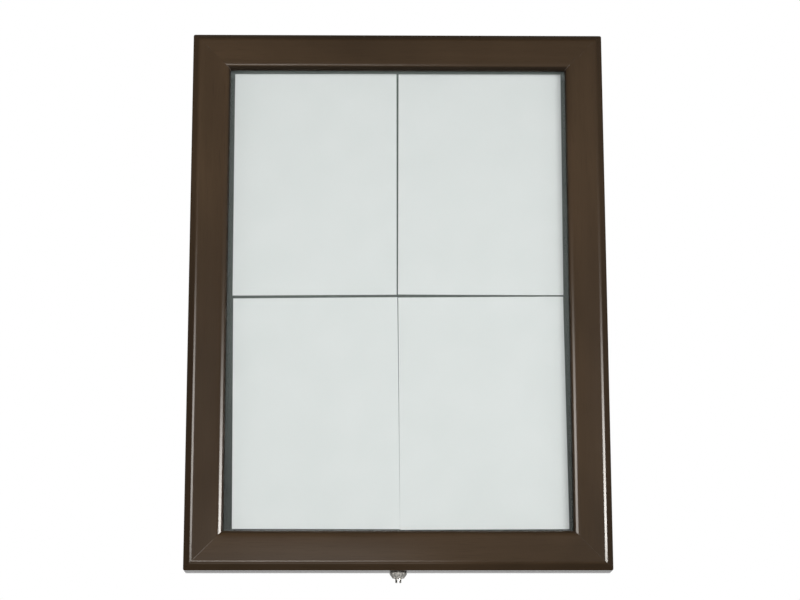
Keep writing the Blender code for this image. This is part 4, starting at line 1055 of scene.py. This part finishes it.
def bumpers():
    """Two rubber pads with rounded rims."""
    for side in ("left", "right"):
        low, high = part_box(side + "_door_bumper")
        radius = (high.x - low.x) / 2
        height = high.y - low.y
        turn = np.linspace(0, math.pi / 2, 7)
        rim = 0.0005
        edge = np.column_stack([radius - rim + rim * np.sin(turn), height - rim + rim * np.cos(turn)])
        profile = np.concatenate([[(0, height)], edge, [(radius, 0), (0, 0)]])
        centre = ((low.x + high.x) / 2, high.y, (low.z + high.z) / 2)
        piece = turned("soft_" + side + "_bumper", profile, centre, (0, -1, 0), 40)
        fit(piece, "case", RUBBER, "black_rubber", side + "_door_bumper")


def dress(node, finish, ease):
    """Keeps a CAD node: its triangles are merged, its edges eased, and its broad faces shaded flat."""
    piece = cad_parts[node]
    piece.data.materials.clear()
    piece.data.materials.append(finish)
    piece.data.shade_smooth()
    piece.modifiers.new("merge", "WELD").merge_threshold = 0.000001
    flat = piece.modifiers.new("flat_faces", "DECIMATE")
    flat.decimate_type = "DISSOLVE"
    flat.angle_limit = math.radians(0.5)
    bevel = piece.modifiers.new("eased_edges", "BEVEL")
    bevel.width = ease
    bevel.segments = 2
    bevel.limit_method = "ANGLE"
    bevel.angle_limit = math.radians(38)
    weighted = piece.modifiers.new("flat_shading", "WEIGHTED_NORMAL")
    weighted.weight = 100


def kept_nodes():
    """The CAD nodes whose shape is right, each with its own finish."""
    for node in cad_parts:
        if node.endswith("mitre_key"):
            dress(node, BEECH, 0.0002)
        if node.endswith("glazing_strip"):
            dress(node, RUBBER, 0.0002)
        if node.endswith(("hinge_door_leaf", "hinge_case_leaf", "hinge_pin")):
            dress(node, BRASS, 0.00012)
        if node.endswith("hanger_plate"):
            dress(node, ZINC, 0.00015)
    dress("display_panel", PANEL_PAINT, 0.0002)
    dress("strike_hook", ZINC, 0.00015)
    dress("lock_nut", ZINC, 0.0003)
    dress("lock_cam", ZINC, 0.0002)
    dress("lock_barrel", NICKEL, 0.0002)


def studio_world():
    """White behind the object and in what it mirrors from behind, dimmer studio in front."""
    world = bpy.data.worlds.new("studio")
    bpy.context.scene.world = world
    finish = Finish(world)
    direction = finish.add("TexCoord", output="Generated")
    depth = finish.add("SeparateXYZ", {}, {0: direction}, 1)
    height = finish.add("SeparateXYZ", {}, {0: direction}, 2)
    in_front = finish.span(depth, -0.92, -0.70, 0.11, 0.03)
    mirrored = in_front + finish.span(depth, 0.55, 0.85, 0.0, 0.75)
    from_below = finish.span(height, -0.95, -0.60, 0.16, 0.0)
    ambient = finish.span(depth, 0.10, 0.60, 0.06, 0.90) + from_below
    camera = finish.add("LightPath", output="Is Camera Ray")
    through = finish.add("LightPath", output="Is Transmission Ray")
    glossy = finish.add("LightPath", output="Is Glossy Ray")
    level = ambient + glossy * (mirrored - ambient)
    level = level + (camera | through) * (1 - level)
    finish.close(finish.add("Background", {}, {"Color": (1, 1, 1, 1), "Strength": level}))


def pale_floor():
    """A pale floor well below the object, with a little light of its own; gloss doesn't show it."""
    reach = 9
    corners = [(-reach, -reach), (reach, -reach), (reach, reach), (-reach, reach)]
    points = np.array([(x, y, FLOOR) for x, y in corners])
    floor = mesh_piece("floor", points, [(0, 1, 2, 3)])
    finish = new_finish("pale_floor")
    colour = finish.mix(finish.noise(1.5), (0.84, 0.84, 0.83), (0.88, 0.88, 0.87))
    shader = finish.shader(base_color=colour, roughness=0.7,
                           emission_color=(1, 1, 1), emission_strength=0.35)
    floor.data.materials.append(finish.close(shader))
    floor.visible_glossy = False
    floor.visible_diffuse = False


def softbox(name, place, aim_point, size, radiance, gloss):
    """A rectangular lamp that either lights the surfaces or only shows in their gloss."""
    lamp = bpy.data.lights.new(name, "AREA")
    lamp.shape = "RECTANGLE"
    lamp.size, lamp.size_y = size
    lamp.energy = radiance * math.pi * size[0] * size[1]
    lamp.color = (1.0, 0.97, 0.93) if gloss else (1.0, 1.0, 1.0)
    stand = bpy.data.objects.new(name, lamp)
    bpy.context.scene.collection.objects.link(stand)
    stand.location = place
    stand.rotation_euler = (Vector(aim_point) - Vector(place)).to_track_quat("-Z", "Y").to_euler()
    stand.visible_camera = False
    stand.visible_glossy = gloss
    stand.visible_transmission = gloss
    stand.visible_diffuse = not gloss


def around(azimuth, height, distance):
    """A place round the object, with its azimuth counted from the front towards the right."""
    turn = math.radians(azimuth)
    return (distance * math.sin(turn), -distance * math.cos(turn), height)


def graded_strip(name, azimuth, width, slices):
    """A tall strip at the side whose light fades upward, built of slices one above the other."""
    for number, (foot, head, radiance) in enumerate(slices, 1):
        middle = (foot + head) / 2
        softbox("%s_%d" % (name, number), around(azimuth, middle, 1.8), (0, 0, middle),
                (width, head - foot), radiance, gloss=True)


def studio_lamps():
    """Six softboxes light the object; strips and cards show only in its lacquer and metal."""
    for number, (azimuth, height, tall, radiance) in enumerate(SOFTBOXES, 1):
        softbox("softbox_%d" % number, around(azimuth, height, 2.2), (0, 0, 0),
                (0.8, tall), radiance, gloss=False)
    graded_strip("right_strip", 48.5, 1.45, RIGHT_STRIP)
    graded_strip("left_strip", -43, 1.20, LEFT_STRIP)
    for number, (left, right, foot, head, radiance) in enumerate(FRONT_CARDS, 1):
        place = ((left + right) / 2, -2.4, (foot + head) / 2)
        softbox("front_card_%d" % number, place, (place[0], 0, place[2]),
                (right - left, head - foot), radiance, gloss=True)
    softbox("under_card", (-0.13, -0.55, -1.05), (-0.13, 0, -0.36), (0.44, 0.4), 0.8, gloss=True)
    for name, azimuth in (("right_low_card", 50), ("left_low_card", -50)):
        softbox(name, around(azimuth, -1.10, 1.3), (0, 0, -0.36), (1.0, 0.6), 1.5, gloss=True)


def photo_camera():
    """The photo's camera: below the object, looking up by 13 degrees and a hair to the right."""
    tilt = math.radians(13.36)
    yaw = math.radians(0.861)
    roll = math.radians(-0.098)
    distance = 2.883
    aim_point = Vector((0.00228, -0.040, -0.0080))
    forward = Vector((math.sin(yaw) * math.cos(tilt), math.cos(yaw) * math.cos(tilt), math.sin(tilt)))
    level_right = Vector((math.cos(yaw), -math.sin(yaw), 0))
    level_up = level_right.cross(forward)
    right = math.cos(roll) * level_right + math.sin(roll) * level_up
    up = math.cos(roll) * level_up - math.sin(roll) * level_right
    lens = bpy.data.cameras.new("photo_camera")
    lens.lens = 102.85
    lens.sensor_width = 36
    camera = bpy.data.objects.new("photo_camera", lens)
    bpy.context.scene.collection.objects.link(camera)
    facing = Matrix((right, up, -forward)).transposed().to_4x4()
    camera.matrix_world = Matrix.Translation(aim_point - distance * forward) @ facing
    bpy.context.scene.camera = camera


photo_camera()
studio_world()
studio_lamps()
pale_floor()
door_rails()
case_rails()
glazing_beads()
glass_pane()
kept_nodes()
sheets()
back_board()
rosette()
spindle()
bumpers()
screws()
panel_screws()
bead_brads()
bpy.context.scene.view_settings.view_transform = "Standard"
bpy.context.view_layer.update()
